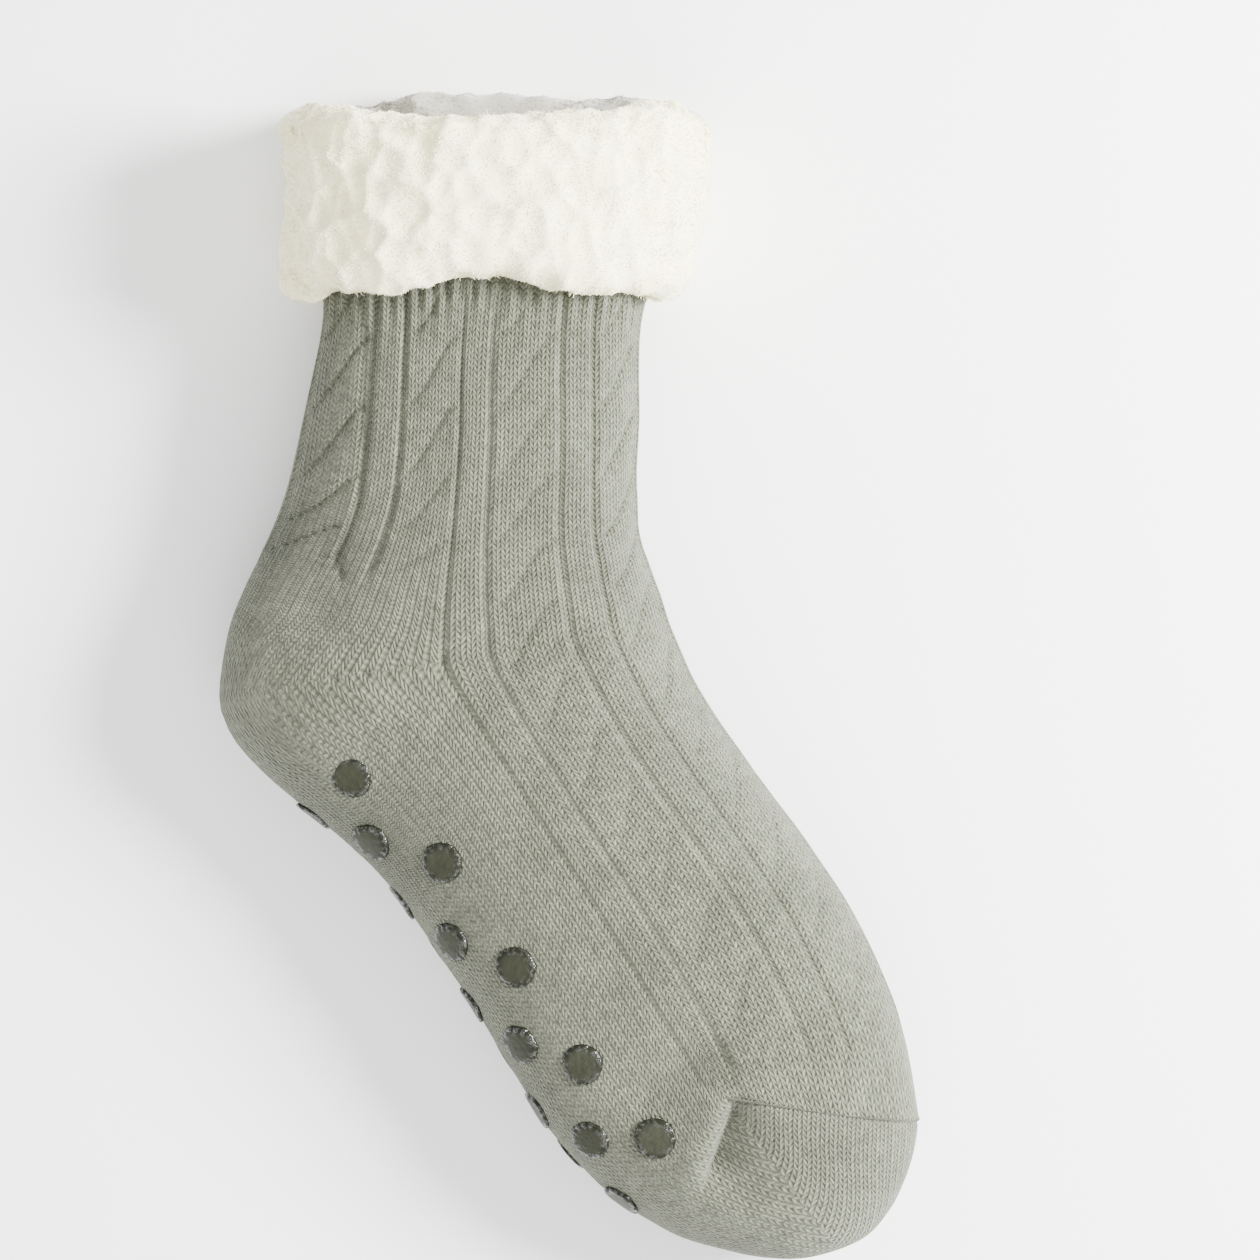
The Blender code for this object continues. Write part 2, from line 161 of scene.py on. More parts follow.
def leg_section(row):
    """A row of the leg: its back, side and front points on the plan, its top and its base."""
    spot = ANKLE + LEG_AXIS * (row.along * LEG_LENGTH)
    places = [spot + LEG_FORWARD * (share * LEG_DEPTH) for share in (row.back, row.side, row.front)]
    base = row.lift * (UNDER_FLEECE + SEAT_GAP)
    return [*places[0], *places[1], *places[2], base + row.thick * LEG_THICKNESS, base]


def foot_section(row):
    """The same for a row of the foot."""
    base = row.lift * TOE_LIFT
    return [
        row.back_x * FOOT_LENGTH, row.back_y * FOOT_DEPTH,
        row.side_x * FOOT_LENGTH, row.side_y * FOOT_DEPTH,
        row.front_x * FOOT_LENGTH, row.front_y * FOOT_DEPTH,
        base + row.thick * FOOT_THICKNESS, base,
    ]


SECTIONS = np.array([leg_section(row) for row in LEG_ROWS] + [foot_section(row) for row in FOOT_ROWS])


def smooth_through(values, places):
    """Catmull-Rom values at places along an array of rows."""
    values = np.asarray(values, float)
    padded = np.concatenate([[2 * values[0] - values[1]], values, [2 * values[-1] - values[-2]]])
    k = np.clip(np.floor(places).astype(int), 0, len(values) - 2)
    f = places - k
    if values.ndim > 1:
        f = np.asarray(f)[..., None]
    before, a, b, after = (padded[k + step] for step in range(4))
    pull = (b - before) * 0.5
    push = (after - a) * 0.5
    return (
        a * (2 * f**3 - 3 * f**2 + 1)
        + pull * (f**3 - 2 * f**2 + f)
        + b * (3 * f**2 - 2 * f**3)
        + push * (f**3 - f**2)
    )


def walked_along(points):
    """Distance from the first point of a line to each of its points."""
    return np.concatenate([[0.0], np.cumsum(np.linalg.norm(np.diff(points, axis=0), axis=1))])


def section_points(section, angles, offset=0.0, off_floor=1.0):
    """Points at many angles, of one section or of one each. Angle 0 is the sole or back edge, a
    quarter turn the upper side line and a half turn the instep or front edge."""
    back, side, front = section[..., 0:2], section[..., 2:4], section[..., 4:6]
    top, base = section[..., 6], np.maximum(section[..., 7], 0.0)
    upper = np.sin(angles) >= 0
    power = np.where(upper, 2.0 / TOP_ROUNDNESS, 2.0 / FLOOR_ROUNDNESS)
    reach = np.abs(np.cos(angles)) ** power
    rise = np.abs(np.sin(angles)) ** power
    sole_half = np.cos(angles) > 0
    arm = np.where(sole_half[..., None], back - side, front - side)
    length = np.linalg.norm(arm, axis=-1)
    spot = side + arm * ((length + offset) / length * reach)[..., None]
    middle = base + MID_SHARE * (top - base)
    high = middle + (top - middle + offset) * rise
    ramp = np.where(sole_half, STUD_CLEAR * off_floor * np.minimum(1.0, reach / RAMP_SHARE), 0.0)
    floor = base - offset + ramp
    low = middle - (middle - base + offset) * PLATEAU * rise
    height = np.where(upper, high, np.maximum(np.maximum(low, floor), 0.0))
    return np.column_stack([spot, height])


ARC_ANGLES = np.linspace(0.0, math.pi / 2, 181)


def quarter(section, quadrant, shares, offset=0.0, off_floor=1.0):
    """Points of a quarter of a section at shares of its arc, 0 at the flat edge and 1 at the side
    line. Quadrants: 0 sole above, 1 instep above, 2 instep below, 3 sole below."""
    turned = [ARC_ANGLES, math.pi - ARC_ANGLES, math.pi + ARC_ANGLES, 2 * math.pi - ARC_ANGLES]
    path = section_points(section, turned[quadrant], offset, off_floor)
    walked = walked_along(path)
    return np.column_stack([np.interp(shares * walked[-1], walked, path[:, k]) for k in range(3)])


def ring(section, wales, offset=0.0):
    """Points of a section at wale numbers, 0 at the sole, 26 at the side line above, 52 at the
    instep and 78 at the side line below."""
    points = np.zeros((len(wales), 3))
    for quadrant in range(4):
        here = (wales >= quadrant * RIM_WALES) & (wales < (quadrant + 1) * RIM_WALES)
        shares = wales[here] / RIM_WALES - quadrant
        if quadrant % 2:
            shares = 1.0 - shares
        points[here] = quarter(section, quadrant, shares, offset)
    return points


side_steps = np.linspace(0.0, LAST_ROW, LAST_ROW * 40 + 1)
side_spots = np.array([smooth_through(SECTIONS, place)[2:4] for place in side_steps])
side_walk = walked_along(side_spots)
GORE_WALK = float(np.interp(GORE_ROW, side_steps, side_walk))
LEG_COURSES = GORE_WALK / COURSE


def row_places(step):
    """Places along the sock about a step apart on the side line, with one on the heel's gore line."""
    above = np.linspace(0.0, GORE_WALK, int(GORE_WALK / step) + 1)
    below = np.linspace(GORE_WALK, side_walk[-1], int((side_walk[-1] - GORE_WALK) / step) + 1)
    walks = np.concatenate([above, below[1:]])
    places = np.interp(walks, side_walk, side_steps)
    places[len(above) - 1] = GORE_ROW
    return places, walks, len(above) - 1


def smooth_step(low, high, value):
    """0 below low, 1 above high, and a soft step between."""
    t = np.clip((value - low) / (high - low), 0.0, 1.0)
    return t * t * (3 - 2 * t)


def bell(value, width):
    """1 where the value is 0, falling off on both sides."""
    return np.exp(-((value / width) ** 2))


def sole_share(wales):
    """Share of the half section on the sole half, 0 at its edge and 1 at the side line."""
    return np.minimum(wales, WALES - wales) / RIM_WALES


def stitch_field(wales, walk, below_gore):
    """Wale and course number at a point. On the back half the heel's short rows bend both."""
    share = sole_share(wales)
    sole_half = share <= 1.0
    inside = np.clip((GORE_INNER - share) / (GORE_INNER - GORE_OUTER), 0.0, 1.0)
    crowd = GORE_SHIFT * np.minimum(np.clip(share / GORE_OUTER, 0.0, 1.0), inside)
    bend = max(0.0, 1.0 - abs(walk - GORE_WALK) / GORE_REACH) ** 1.6
    sign = np.where(wales < WALES / 2, 1.0, -1.0)
    above = max(0.0, GORE_WALK - walk)
    slack = LEG_SHIFT * smooth_step(0.0, 0.046, above) * (1.0 - 0.6 * smooth_step(0.046, 0.110, above))
    pull = crowd * bend - slack * 4 * share * (1.0 - share)
    wale = wales + np.where(sole_half, sign * pull, 0.0)
    extra = HEEL_COURSES * inside
    if below_gore:
        fade = -(1.0 - smooth_step(0.0, 0.044, walk - GORE_WALK))
    else:
        fade = smooth_step(-0.047, -0.001, walk - GORE_WALK)
    course = walk / COURSE + np.where(sole_half, extra * fade, 0.0)
    return wale, course


def pattern_mask(wale, course, below_gore):
    """1 where the ribs and ropes are knitted, 0 on the plain heel, sole and toe."""
    from_sole = np.where(wale < WALES / 2, wale, WALES - wale)
    front = smooth_step(RIM_WALES - 2.9, RIM_WALES - 2.6, from_sole)
    toe_end = side_walk[-1] / COURSE - 6.0 - 0.22 * np.abs(wale - RIM_WALES)
    front_half = 1.0 - smooth_step(0.0, 2.0, course - toe_end)
    back_half = 1.0 - smooth_step(-9.0, 0.0, course - LEG_COURSES)
    if below_gore:
        back_half = 0.0
    return front * front_half + (1.0 - front) * back_half


def stitch_relief(wale, course, mask):
    """Height of the ribs, grooves and ropes over the plain fabric, and how deep in a groove it is, for the
    shade painted there.
    """
    across = (wale + REPEAT / 2) % REPEAT - REPEAT / 2
    rib = RIB_RISE * (1.0 - smooth_step(RIB_HALF - 0.1, RIB_HALF + 0.5, np.abs(across)))
    gutter = bell(np.abs(across) - GUTTER_AT, GUTTER_WIDTH)
    panel = (wale - ROPE_LEFT) % REPEAT / ROPE_WIDTH
    in_panel = smooth_step(0.0, 0.08, panel) * (1.0 - smooth_step(0.94, 1.02, panel))
    rise = smooth_step(0.0, 1.0, panel)
    phase = ((course + ROPE_PITCH * rise) / ROPE_PITCH) % 1.0
    slope = 1.0 / np.sqrt(1.0 + (2.6 * rise * (1 - rise) * 4) ** 2 * 0.55)
    away = np.minimum(phase, 1.0 - phase) * ROPE_PITCH * COURSE * slope
    groove = bell(away, ROPE_GROOVE) * in_panel
    dome = ROPE_DOME * np.sin(math.pi * np.clip(phase, 0, 1)) * in_panel
    bank = GUTTER_BANK * bell(np.abs(across) - GUTTER_AT - 1.0, BANK_WIDTH)
    height = rib + bank + dome - GUTTER_DEPTH * gutter - ROPE_DEPTH * groove
    return height * mask, np.maximum(gutter, 0.95 * groove) * mask


def gather(wale, walk):
    """The fabric is drawn in under the cuff, in tucks two wales wide: their height, and a painted shade that
    is darkest between them and fades away below the hem.
    """
    fade = np.exp(-np.maximum(walk - HEM_DEPTH, 0.0) / GATHER_REACH)
    wave = np.cos(math.pi * wale)
    return GATHER_DEPTH * fade * wave, fade * (0.65 - 0.35 * wave)


# Soft troughs and ridges of the upper side: the middle, as shares of the foot's
# length and depth, the turn of its line from the sole's direction in degrees, its half length, its
# half widths to the left and right of the line, its height, and how sharp its bottom is.
Crease = namedtuple("Crease", "x y turn half left right height sharp")
CREASES = [
    # the toe's pocket: a sharp valley below the seam's end, its light bank and the shade above it
    Crease(0.7860, 0.3200, -60.0, 0.0114, 0.0185, 0.0016, -0.0068, 1.0),
    Crease(0.7690, 0.2900, -60.0, 0.0120, 0.0034, 0.0044, 0.0016, 0.0),
    Crease(0.7000, 0.3390, 81.0, 0.0150, 0.0080, 0.0065, -0.0036, 0.0),
    # two stitches that open where the leg's pattern ends above the heel
    Crease(0.0071, 0.5370, -44.0, 0.0040, 0.0012, 0.0012, -0.0005, 0.0),
    Crease(0.0230, 0.5200, -44.0, 0.0024, 0.0010, 0.0010, -0.0010, 0.4),
    # the deep gutter along the leg's back
    Crease(-0.0982, 0.8349, -42.8, 0.0240, 0.0012, 0.0012, -0.0009, 0.0),
    # the hollow between the leg and the heel's corner, and the swell of the heel's pocket
    Crease(0.0200, 0.4600, -50.0, 0.0190, 0.0100, 0.0080, -0.0016, 0.0),
    Crease(0.1460, 0.2350, -50.0, 0.0180, 0.0120, 0.0120, 0.0009, 0.0),
    # slack folds of the ankle and the instep
    Crease(0.1500, 0.9000, -65.0, 0.0220, 0.0070, 0.0090, -0.0009, 0.0),
    Crease(0.2700, 0.9300, -35.0, 0.0260, 0.0080, 0.0080, 0.0008, 0.0),
    Crease(0.4200, 0.7600, -28.0, 0.0300, 0.0080, 0.0080, -0.0006, 0.0),
    Crease(0.5600, 0.5600, -38.0, 0.0260, 0.0080, 0.0080, 0.0006, 0.0),
]


def crease_height(points):
    """Sum of the creases at points of the sock, which leave its underside flat on the floor."""
    height = np.zeros(points.shape[:-1])
    upper = smooth_step(0.012, 0.030, points[..., 2])
    for crease in CREASES:
        dx = points[..., 0] - crease.x * FOOT_LENGTH
        dy = points[..., 1] - crease.y * FOOT_DEPTH
        turn = math.radians(crease.turn)
        cos, sin = math.cos(turn), math.sin(turn)
        along = (dx * cos + dy * sin) / crease.half
        across = dy * cos - dx * sin
        across = across / np.where(across > 0, crease.left, crease.right)
        cusp = np.exp(-1.5 * np.abs(across))
        profile = crease.sharp * cusp + (1.0 - crease.sharp) * np.exp(-(across**2))
        height += crease.height * profile * np.exp(-(along**4)) * upper
    return height


def fold_shade(crease):
    """How far into a fold a point lies, from 0 to 1, for the shade painted there."""
    return np.clip(-crease / FOLD_DEEP, 0.0, 1.0)


def grid_normals(points, closed):
    """Outward unit normals of a grid of points, row by row."""
    if closed:
        around = np.roll(points, -1, axis=1) - np.roll(points, 1, axis=1)
    else:
        around = np.gradient(points, axis=1)
    along = np.gradient(points, axis=0)
    normals = np.cross(along, around)
    return normals / np.maximum(np.linalg.norm(normals, axis=2, keepdims=True), 1e-12)


# Wale numbers of the mesh's columns: close together above, where they show, and wide underneath
fine = np.arange(0.0, RIM_WALES * 2, 1 / 4)
under_quarter = np.concatenate([np.arange(0.0, 10.0, 0.5), np.arange(10.0, RIM_WALES + 0.01, 1.6)])
under = np.concatenate([RIM_WALES * 2 + under_quarter, WALES - under_quarter[::-1][1:-1]])
KNIT_WALES = np.concatenate([fine, under])


def raised(points, normals, wales, walks, gore_row):
    """Lifts the plain surface by its ribs, ropes, tucks and creases. Returns it with a groove mask,
    the signed distance to the gore line and a painted shade of tucks and folds for each point."""
    groove = np.zeros(points.shape[:2])
    line = np.zeros(points.shape[:2])
    painted_fold_shade = np.zeros(points.shape[:2])
    lifted = points.copy()
    share = sole_share(wales)
    on_gore = (share > GORE_OUTER * 0.8) & (share < GORE_INNER + 0.02)
    for i, walk in enumerate(walks):
        late = i > gore_row
        wale, course = stitch_field(wales, walk, late)
        from_gore = walk - GORE_WALK
        calm = 1.0 - FOOT_CALM * smooth_step(-0.012, 0.050, from_gore)
        mask = calm * pattern_mask(wale, course, late)
        height, groove[i] = stitch_relief(wale, course, mask)
        folds, painted_fold_shade[i] = gather(wale, walk)
        strength = on_gore * (0.35 + 0.65 * share)
        line[i] = np.where(on_gore & (share > 0.55 * GORE_INNER), from_gore, FAR_FROM_GORE)
        dip = -GORE_DIP * strength * bell(from_gore, GORE_WIDTH)
        crease = crease_height(points[i])
        # Painted shade in the troughs of the creases, on top of that between the tucks
        painted_fold_shade[i] = np.maximum(painted_fold_shade[i], fold_shade(crease))
        height = height + folds * mask + dip + crease
        grain = [noise.noise(Vector(p) * GRAIN_SCALE) for p in points[i]]
        height = height + GRAIN_LIFT * np.array(grain)
        lifted[i] += normals[i] * height[:, None]
    lifted[:, :, 2] = np.maximum(lifted[:, :, 2], FLOOR_CLEAR)
    return lifted, groove, line, painted_fold_shade


def toe_grid(wales_in, steps):
    """Rows of points over the toe cap. Row 0 is the sole's last row and the final row the seam,
    both from the upper end of the seam over the toe's edge to its lower end."""
    end = SECTIONS[-1]
    tip = [[row.x * FOOT_LENGTH, row.y * FOOT_DEPTH] for row in TOE_ROWS]
    outline = np.array([end[0:2]] + tip + [end[4:6]])
    count = len(outline) - 1
    rows = []
    for k in range(steps + 1):
        edge = smooth_through(outline, k * count / steps)
        section = end.copy()
        section[0:2] = edge
        off_floor = 1.0 - k / steps
        shares = wales_in / RIM_WALES
        upper = quarter(section, 0, np.clip(shares, 0, 1), 0.0, off_floor)
        lower = quarter(section, 3, np.clip(-shares, 0, 1), 0.0, off_floor)
        rows.append(np.where((shares >= 0)[:, None], upper, lower))
    return np.array(rows)


TOE_STEPS = 104  # mesh rows from the sole's last row to the seam
TOE_TURN = 1.75  # angle at the seam's end between the sole's last row and the seam
TOE_COURSES = 60  # courses from the one to the other

# Wale numbers over the toe cap, from the seam's upper end (26) over the edge (0) to its lower end
toe_wales = np.concatenate([[RIM_WALES], fine[fine < RIM_WALES][::-1], -under_quarter[1:]])
toe_wales[-1] = -RIM_WALES


def toe_field(wale, share, seam_side, sign):
    """Wale and course number on the toe cap: the sole's wales run straight to the gore line, where
    they turn and run on straight to the seam."""
    radius = 1.0 - abs(wale) / RIM_WALES
    swing = TOE_TURN * (1.0 - share if seam_side else share)
    across = RIM_WALES * (1.0 - radius * math.cos(swing))
    course = RIM_WALES * WALE / COURSE * radius * math.sin(swing)
    return sign * across, TOE_COURSES - course if seam_side else course


def toe_cap():
    """The toe cap's surface with its creases and the seam's groove, and the shade painted in its folds and
    beside the seam.
    """
    cap = toe_grid(toe_wales, TOE_STEPS)
    normals = -grid_normals(cap, False)
    grain = np.array([[noise.noise(Vector(p) * GRAIN_SCALE) for p in row] for row in cap])
    crease = crease_height(cap)
    from_seam = 1.0 - np.linspace(0.0, 1.0, TOE_STEPS + 1)[:, None]
    shade = np.maximum(fold_shade(crease), bell(from_seam, SHADE_SHARE))
    height = GRAIN_LIFT * grain + crease
    height += -SEAM_GROOVE * bell(from_seam, GROOVE_SHARE)
    lifted = cap + normals * height[:, :, None]
    lifted[:, :, 2] = np.maximum(lifted[:, :, 2], FLOOR_CLEAR)
    return lifted, shade


def grid_quads(rows, columns):
    """Corners of the faces of a grid of points whose rows are closed rings."""
    i, j = np.meshgrid(np.arange(rows - 1), np.arange(columns), indexing="ij")
    here, below, n = i * columns, (i + 1) * columns, (j + 1) % columns
    return np.stack([here + j, here + n, below + n, below + j], axis=-1).reshape(-1, 4)


def tube_stitches(walks, gore_row):
    """Wale and course numbers at the corners of the faces from the collar to the toe."""
    turn = np.where(np.arange(len(KNIT_WALES)) == len(KNIT_WALES) - 1, WALES, 0)
    numbers = []
    for i in range(len(walks) - 1):
        w0, c0 = stitch_field(KNIT_WALES, walks[i], i >= gore_row)
        w1, c1 = stitch_field(KNIT_WALES, walks[i + 1], i >= gore_row)
        next_w0, next_c0, next_w1, next_c1 = [np.roll(values, -1) for values in (w0, c0, w1, c1)]
        corners = [w0, c0, next_w0 + turn, next_c0, next_w1 + turn, next_c1, w1, c1]
        numbers.append(np.stack(corners, axis=-1))
    return np.ravel(numbers)


def toe_faces(ids, base_course):
    """Faces between the toe cap's rows of vertex numbers, which all meet at the seam's two ends,
    and the wale and course numbers of their corners."""
    faces, numbers = [], []
    for i in range(TOE_STEPS):
        seam_side = i >= TOE_STEPS // 2
        for j in range(len(toe_wales) - 1):
            sign = math.copysign(1.0, toe_wales[j] + toe_wales[j + 1])
            face, counts = [], []
            for k, c in [(0, j), (1, j), (1, j + 1), (0, j + 1)]:
                if ids[i + k][c] in face:
                    continue
                face.append(ids[i + k][c])
                wale, course = toe_field(toe_wales[c], (i + k) / TOE_STEPS, seam_side, sign)
                counts += [wale, base_course + course]
            if len(face) > 2:
                faces.append(face)
                numbers += counts
    return faces, numbers


def knit_mesh():
    """The face of the sock as one mesh: its points, faces, stitch numbers and masks."""
    places, walks, gore_row = row_places(ROW_STEP)
    smooth = np.array([ring(smooth_through(SECTIONS, place), KNIT_WALES) for place in places])
    tube, groove, line, painted_fold_shade = raised(smooth, grid_normals(smooth, True), KNIT_WALES, walks, gore_row)
    cap, cap_shade = toe_cap()
    inner = cap[1:-1, 1:-1].reshape(-1, 3)
    masks = {
        "groove": np.append(groove, np.zeros(len(inner))),
        "gore": np.append(line, np.full(len(inner), FAR_FROM_GORE)),
        "painted_fold_shade": np.append(painted_fold_shade, cap_shade[1:-1, 1:-1]),
    }
    columns = len(KNIT_WALES)
    last = (len(walks) - 1) * columns
    sole_ids = [last + np.argmin(abs(KNIT_WALES - w % WALES)) for w in toe_wales]
    seam_ids = [last + np.argmin(abs(KNIT_WALES + w - RIM_WALES * 2)) for w in toe_wales]
    ids = np.tile(sole_ids, (TOE_STEPS + 1, 1))
    ids[1:-1, 1:-1] = last + columns + np.arange(len(inner)).reshape(TOE_STEPS - 1, -1)
    ids[-1] = seam_ids
    faces = grid_quads(len(walks), columns).tolist()
    cap_faces, cap_numbers = toe_faces(ids.tolist(), round(walks[-1] / COURSE))
    points = np.concatenate([tube.reshape(-1, 3), inner])
    return points, faces + cap_faces, np.append(tube_stitches(walks, gore_row), cap_numbers), masks


def point_layer(piece, name, values):
    """One number for each vertex of a piece, for its material to read."""
    layer = piece.data.attributes.new(name, "FLOAT", "POINT")
    layer.data.foreach_set("value", np.ravel(values))


def placed(name, data):
    """A new object in the scene."""
    made = bpy.data.objects.new(name, data)
    bpy.context.collection.objects.link(made)
    return made


def add_piece(name, mesh):
    """A smooth-shaded piece of the sock, which rides on its only body."""
    mesh.shade_smooth()
    piece = placed(name, mesh)
    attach(piece, "root")
    return piece


# The frame is centred on the sock's floor plan, so every piece is moved as the knitted solid was.
low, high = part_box("knit_upper")
tube_plain = [ring(smooth_through(SECTIONS, p), KNIT_WALES) for p in np.linspace(0, LAST_ROW, 60)]
plain = np.concatenate([*tube_plain, toe_grid(toe_wales, 40).reshape(-1, 3)])
SHIFT = np.array([
    (low.x + high.x) / 2 - (plain[:, 0].min() + plain[:, 0].max()) / 2,
    (low.y + high.y) / 2 - (plain[:, 1].min() + plain[:, 1].max()) / 2,
    0.0,
])

points, faces, stitch_numbers, masks = knit_mesh()
fabric = bpy.data.meshes.new("knitted_sock")
fabric.from_pydata((points + SHIFT).tolist(), [], faces)
fabric.uv_layers.new(name="stitches").data.foreach_set("uv", stitch_numbers)
fabric.update()
knit = add_piece("knitted_sock", fabric)
for name, values in masks.items():
    point_layer(knit, name, values)
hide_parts("knit_upper")


def fill(tree, node, inputs):
    """Sets sockets of a node to values, or links them to other sockets."""
    for key, value in inputs.items():
        if isinstance(value, bpy.types.NodeSocket):
            tree.links.new(value, node.inputs[key])
        else:
            node.inputs[key].default_value = value


def add(tree, kind, inputs=None, **settings):
    """A shader node with its settings and sockets."""
    made = tree.nodes.new("ShaderNode" + kind)
    for key, value in settings.items():
        setattr(made, key, value)
    fill(tree, made, inputs or {})
    return made


def sums(tree, operation, *values):
    """The result of a Math node."""
    return add(tree, "Math", dict(enumerate(values)), operation=operation).outputs[0]


def times(tree, first, second):
    """One value times another."""
    return sums(tree, "MULTIPLY", first, second)


def soft_share(tree, value, none, full):
    """A value's place between two limits, from 0 to 1."""
    return add(tree, "MapRange", {"Value": value, "From Min": none, "From Max": full}).outputs[0]


def painted(tree, name):
    """A vertex layer of the piece."""
    return add(tree, "Attribute", attribute_name=name).outputs["Fac"]


def speckles(tree, scale, detail, **more):
    """A noise texture that is fixed to the piece."""
    here = add(tree, "TexCoord").outputs["Object"]
    return add(tree, "TexNoise", {"Vector": here, "Scale": scale, "Detail": detail, **more})


def bumped(tree, height, distance, strength, **more):
    """Normals of a surface that a height lifts by up to a distance."""
    sizes = {"Height": height, "Distance": distance, "Strength": strength, **more}
    return add(tree, "Bump", sizes).outputs[0]


def blend_colours(tree, factor, first, second):
    """The first colour where the factor is 0, and the second where it is 1."""
    return add(tree, "Mix", {0: factor, 6: first, 7: second}, data_type="RGBA").outputs[2]


def shader_group(name, inputs, outputs):
    """An empty shader node group with float or colour sockets."""
    tree = bpy.data.node_groups.new(name, "ShaderNodeTree")
    for label, kind, value in inputs:
        socket = tree.interface.new_socket(label, in_out="INPUT", socket_type="NodeSocket" + kind)
        socket.default_value = value
    for label, kind in outputs:
        tree.interface.new_socket(label, in_out="OUTPUT", socket_type="NodeSocket" + kind)
    return tree, tree.nodes.new("NodeGroupInput").outputs, tree.nodes.new("NodeGroupOutput")


def new_look(name):
    """A material, with its node tree and its shader."""
    look = bpy.data.materials.new(name)
    look.use_nodes = True
    return look, look.node_tree, look.node_tree.nodes["Principled BSDF"]


def stitch_counts(tree):
    """The mesh's own count of wales and courses."""
    both = add(tree, "UVMap", uv_map="stitches").outputs["UV"]
    return add(tree, "SeparateXYZ", {0: both}).outputs[:2]


def stocking_stitch_group():
    """Columns of V-shaped stitches: their height, the gaps between them, where the knit paints shade, and a
    tone for each.
    """
    tree, given, out = shader_group(
        "stocking_stitch",
        [("Slant", "Float", 1.5), ("Wander", "Float", 0.16)],
        [("Height", "Float"), ("Gap", "Float"), ("Tone", "Float")],
    )
    wale, course = stitch_counts(tree)
    shake = add(tree, "SeparateColor", {0: speckles(tree, 330.0, 2.0).outputs["Color"]}).outputs
    push_u, push_v = [times(tree, sums(tree, "SUBTRACT", s, 0.5), given["Wander"]) for s in shake[:2]]
    wale = sums(tree, "ADD", wale, push_u)
    course = sums(tree, "MULTIPLY_ADD", push_v, 2.0, course)
    from_middle = sums(tree, "ABSOLUTE", sums(tree, "SUBTRACT", sums(tree, "FRACT", wale), 0.5))
    off_leg = times(tree, sums(tree, "SUBTRACT", from_middle, 0.25), 4.0)
    leg = sums(tree, "MAXIMUM", sums(tree, "SUBTRACT", 1.0, times(tree, off_leg, off_leg)), 0.0)
    slanted = sums(tree, "MULTIPLY_ADD", from_middle, given["Slant"], course)
    wave = sums(tree, "COSINE", times(tree, slanted, 2 * math.pi))
    strand = sums(tree, "POWER", sums(tree, "MULTIPLY_ADD", wave, 0.5, 0.5), 0.65)
    over = times(tree, strand, sums(tree, "MULTIPLY_ADD", leg, 0.42, 0.28))
    height = sums(tree, "MULTIPLY_ADD", leg, 0.30, over)
    cell = add(tree, "CombineXYZ", {0: sums(tree, "FLOOR", wale), 1: sums(tree, "FLOOR", slanted)})
    tone = add(tree, "TexWhiteNoise", {"Vector": cell.outputs[0]}, noise_dimensions="2D")
    gap = sums(tree, "POWER", sums(tree, "SUBTRACT", 1.0, height), 2.4)
    fill(tree, out, {"Height": height, "Gap": gap, "Tone": tone.outputs["Value"]})
    return tree


def heather_group():
    """Yarn spun from light and dark fibres, and the fine hairs that stand out of it."""
    tree, given, out = shader_group(
        "heather_yarn",
        [("Light", "Color", (1, 1, 1, 1)), ("Dark", "Color", (0, 0, 0, 1))],
        [("Color", "Color"), ("Fuzz", "Float")],
    )
    fleck = speckles(tree, 900.0, 3.0, Roughness=0.7).outputs[0]
    broad = speckles(tree, 60.0, 2.0).outputs[0]
    fibre = speckles(tree, 1500.0, 4.0, Roughness=0.75, Distortion=1.2)
    tilt = sums(tree, "MULTIPLY_ADD", sums(tree, "SUBTRACT", broad, 0.5), 0.35, fleck)
    light = soft_share(tree, tilt, 0.31, 0.69)
    colour = blend_colours(tree, light, given["Dark"], given["Light"])
    fill(tree, out, {"Color": colour, "Fuzz": fibre.outputs[0]})
    return tree


STITCHES = stocking_stitch_group()
HEATHER = heather_group()
STITCH_DEPTH = 0.00080
FUZZ_DEPTH = 0.00022
LIGHT_YARN = (0.156, 0.165, 0.112, 1.0)
DARK_YARN = (0.064, 0.069, 0.043, 1.0)
SHADOW_YARN = (0.022, 0.024, 0.015, 1.0)


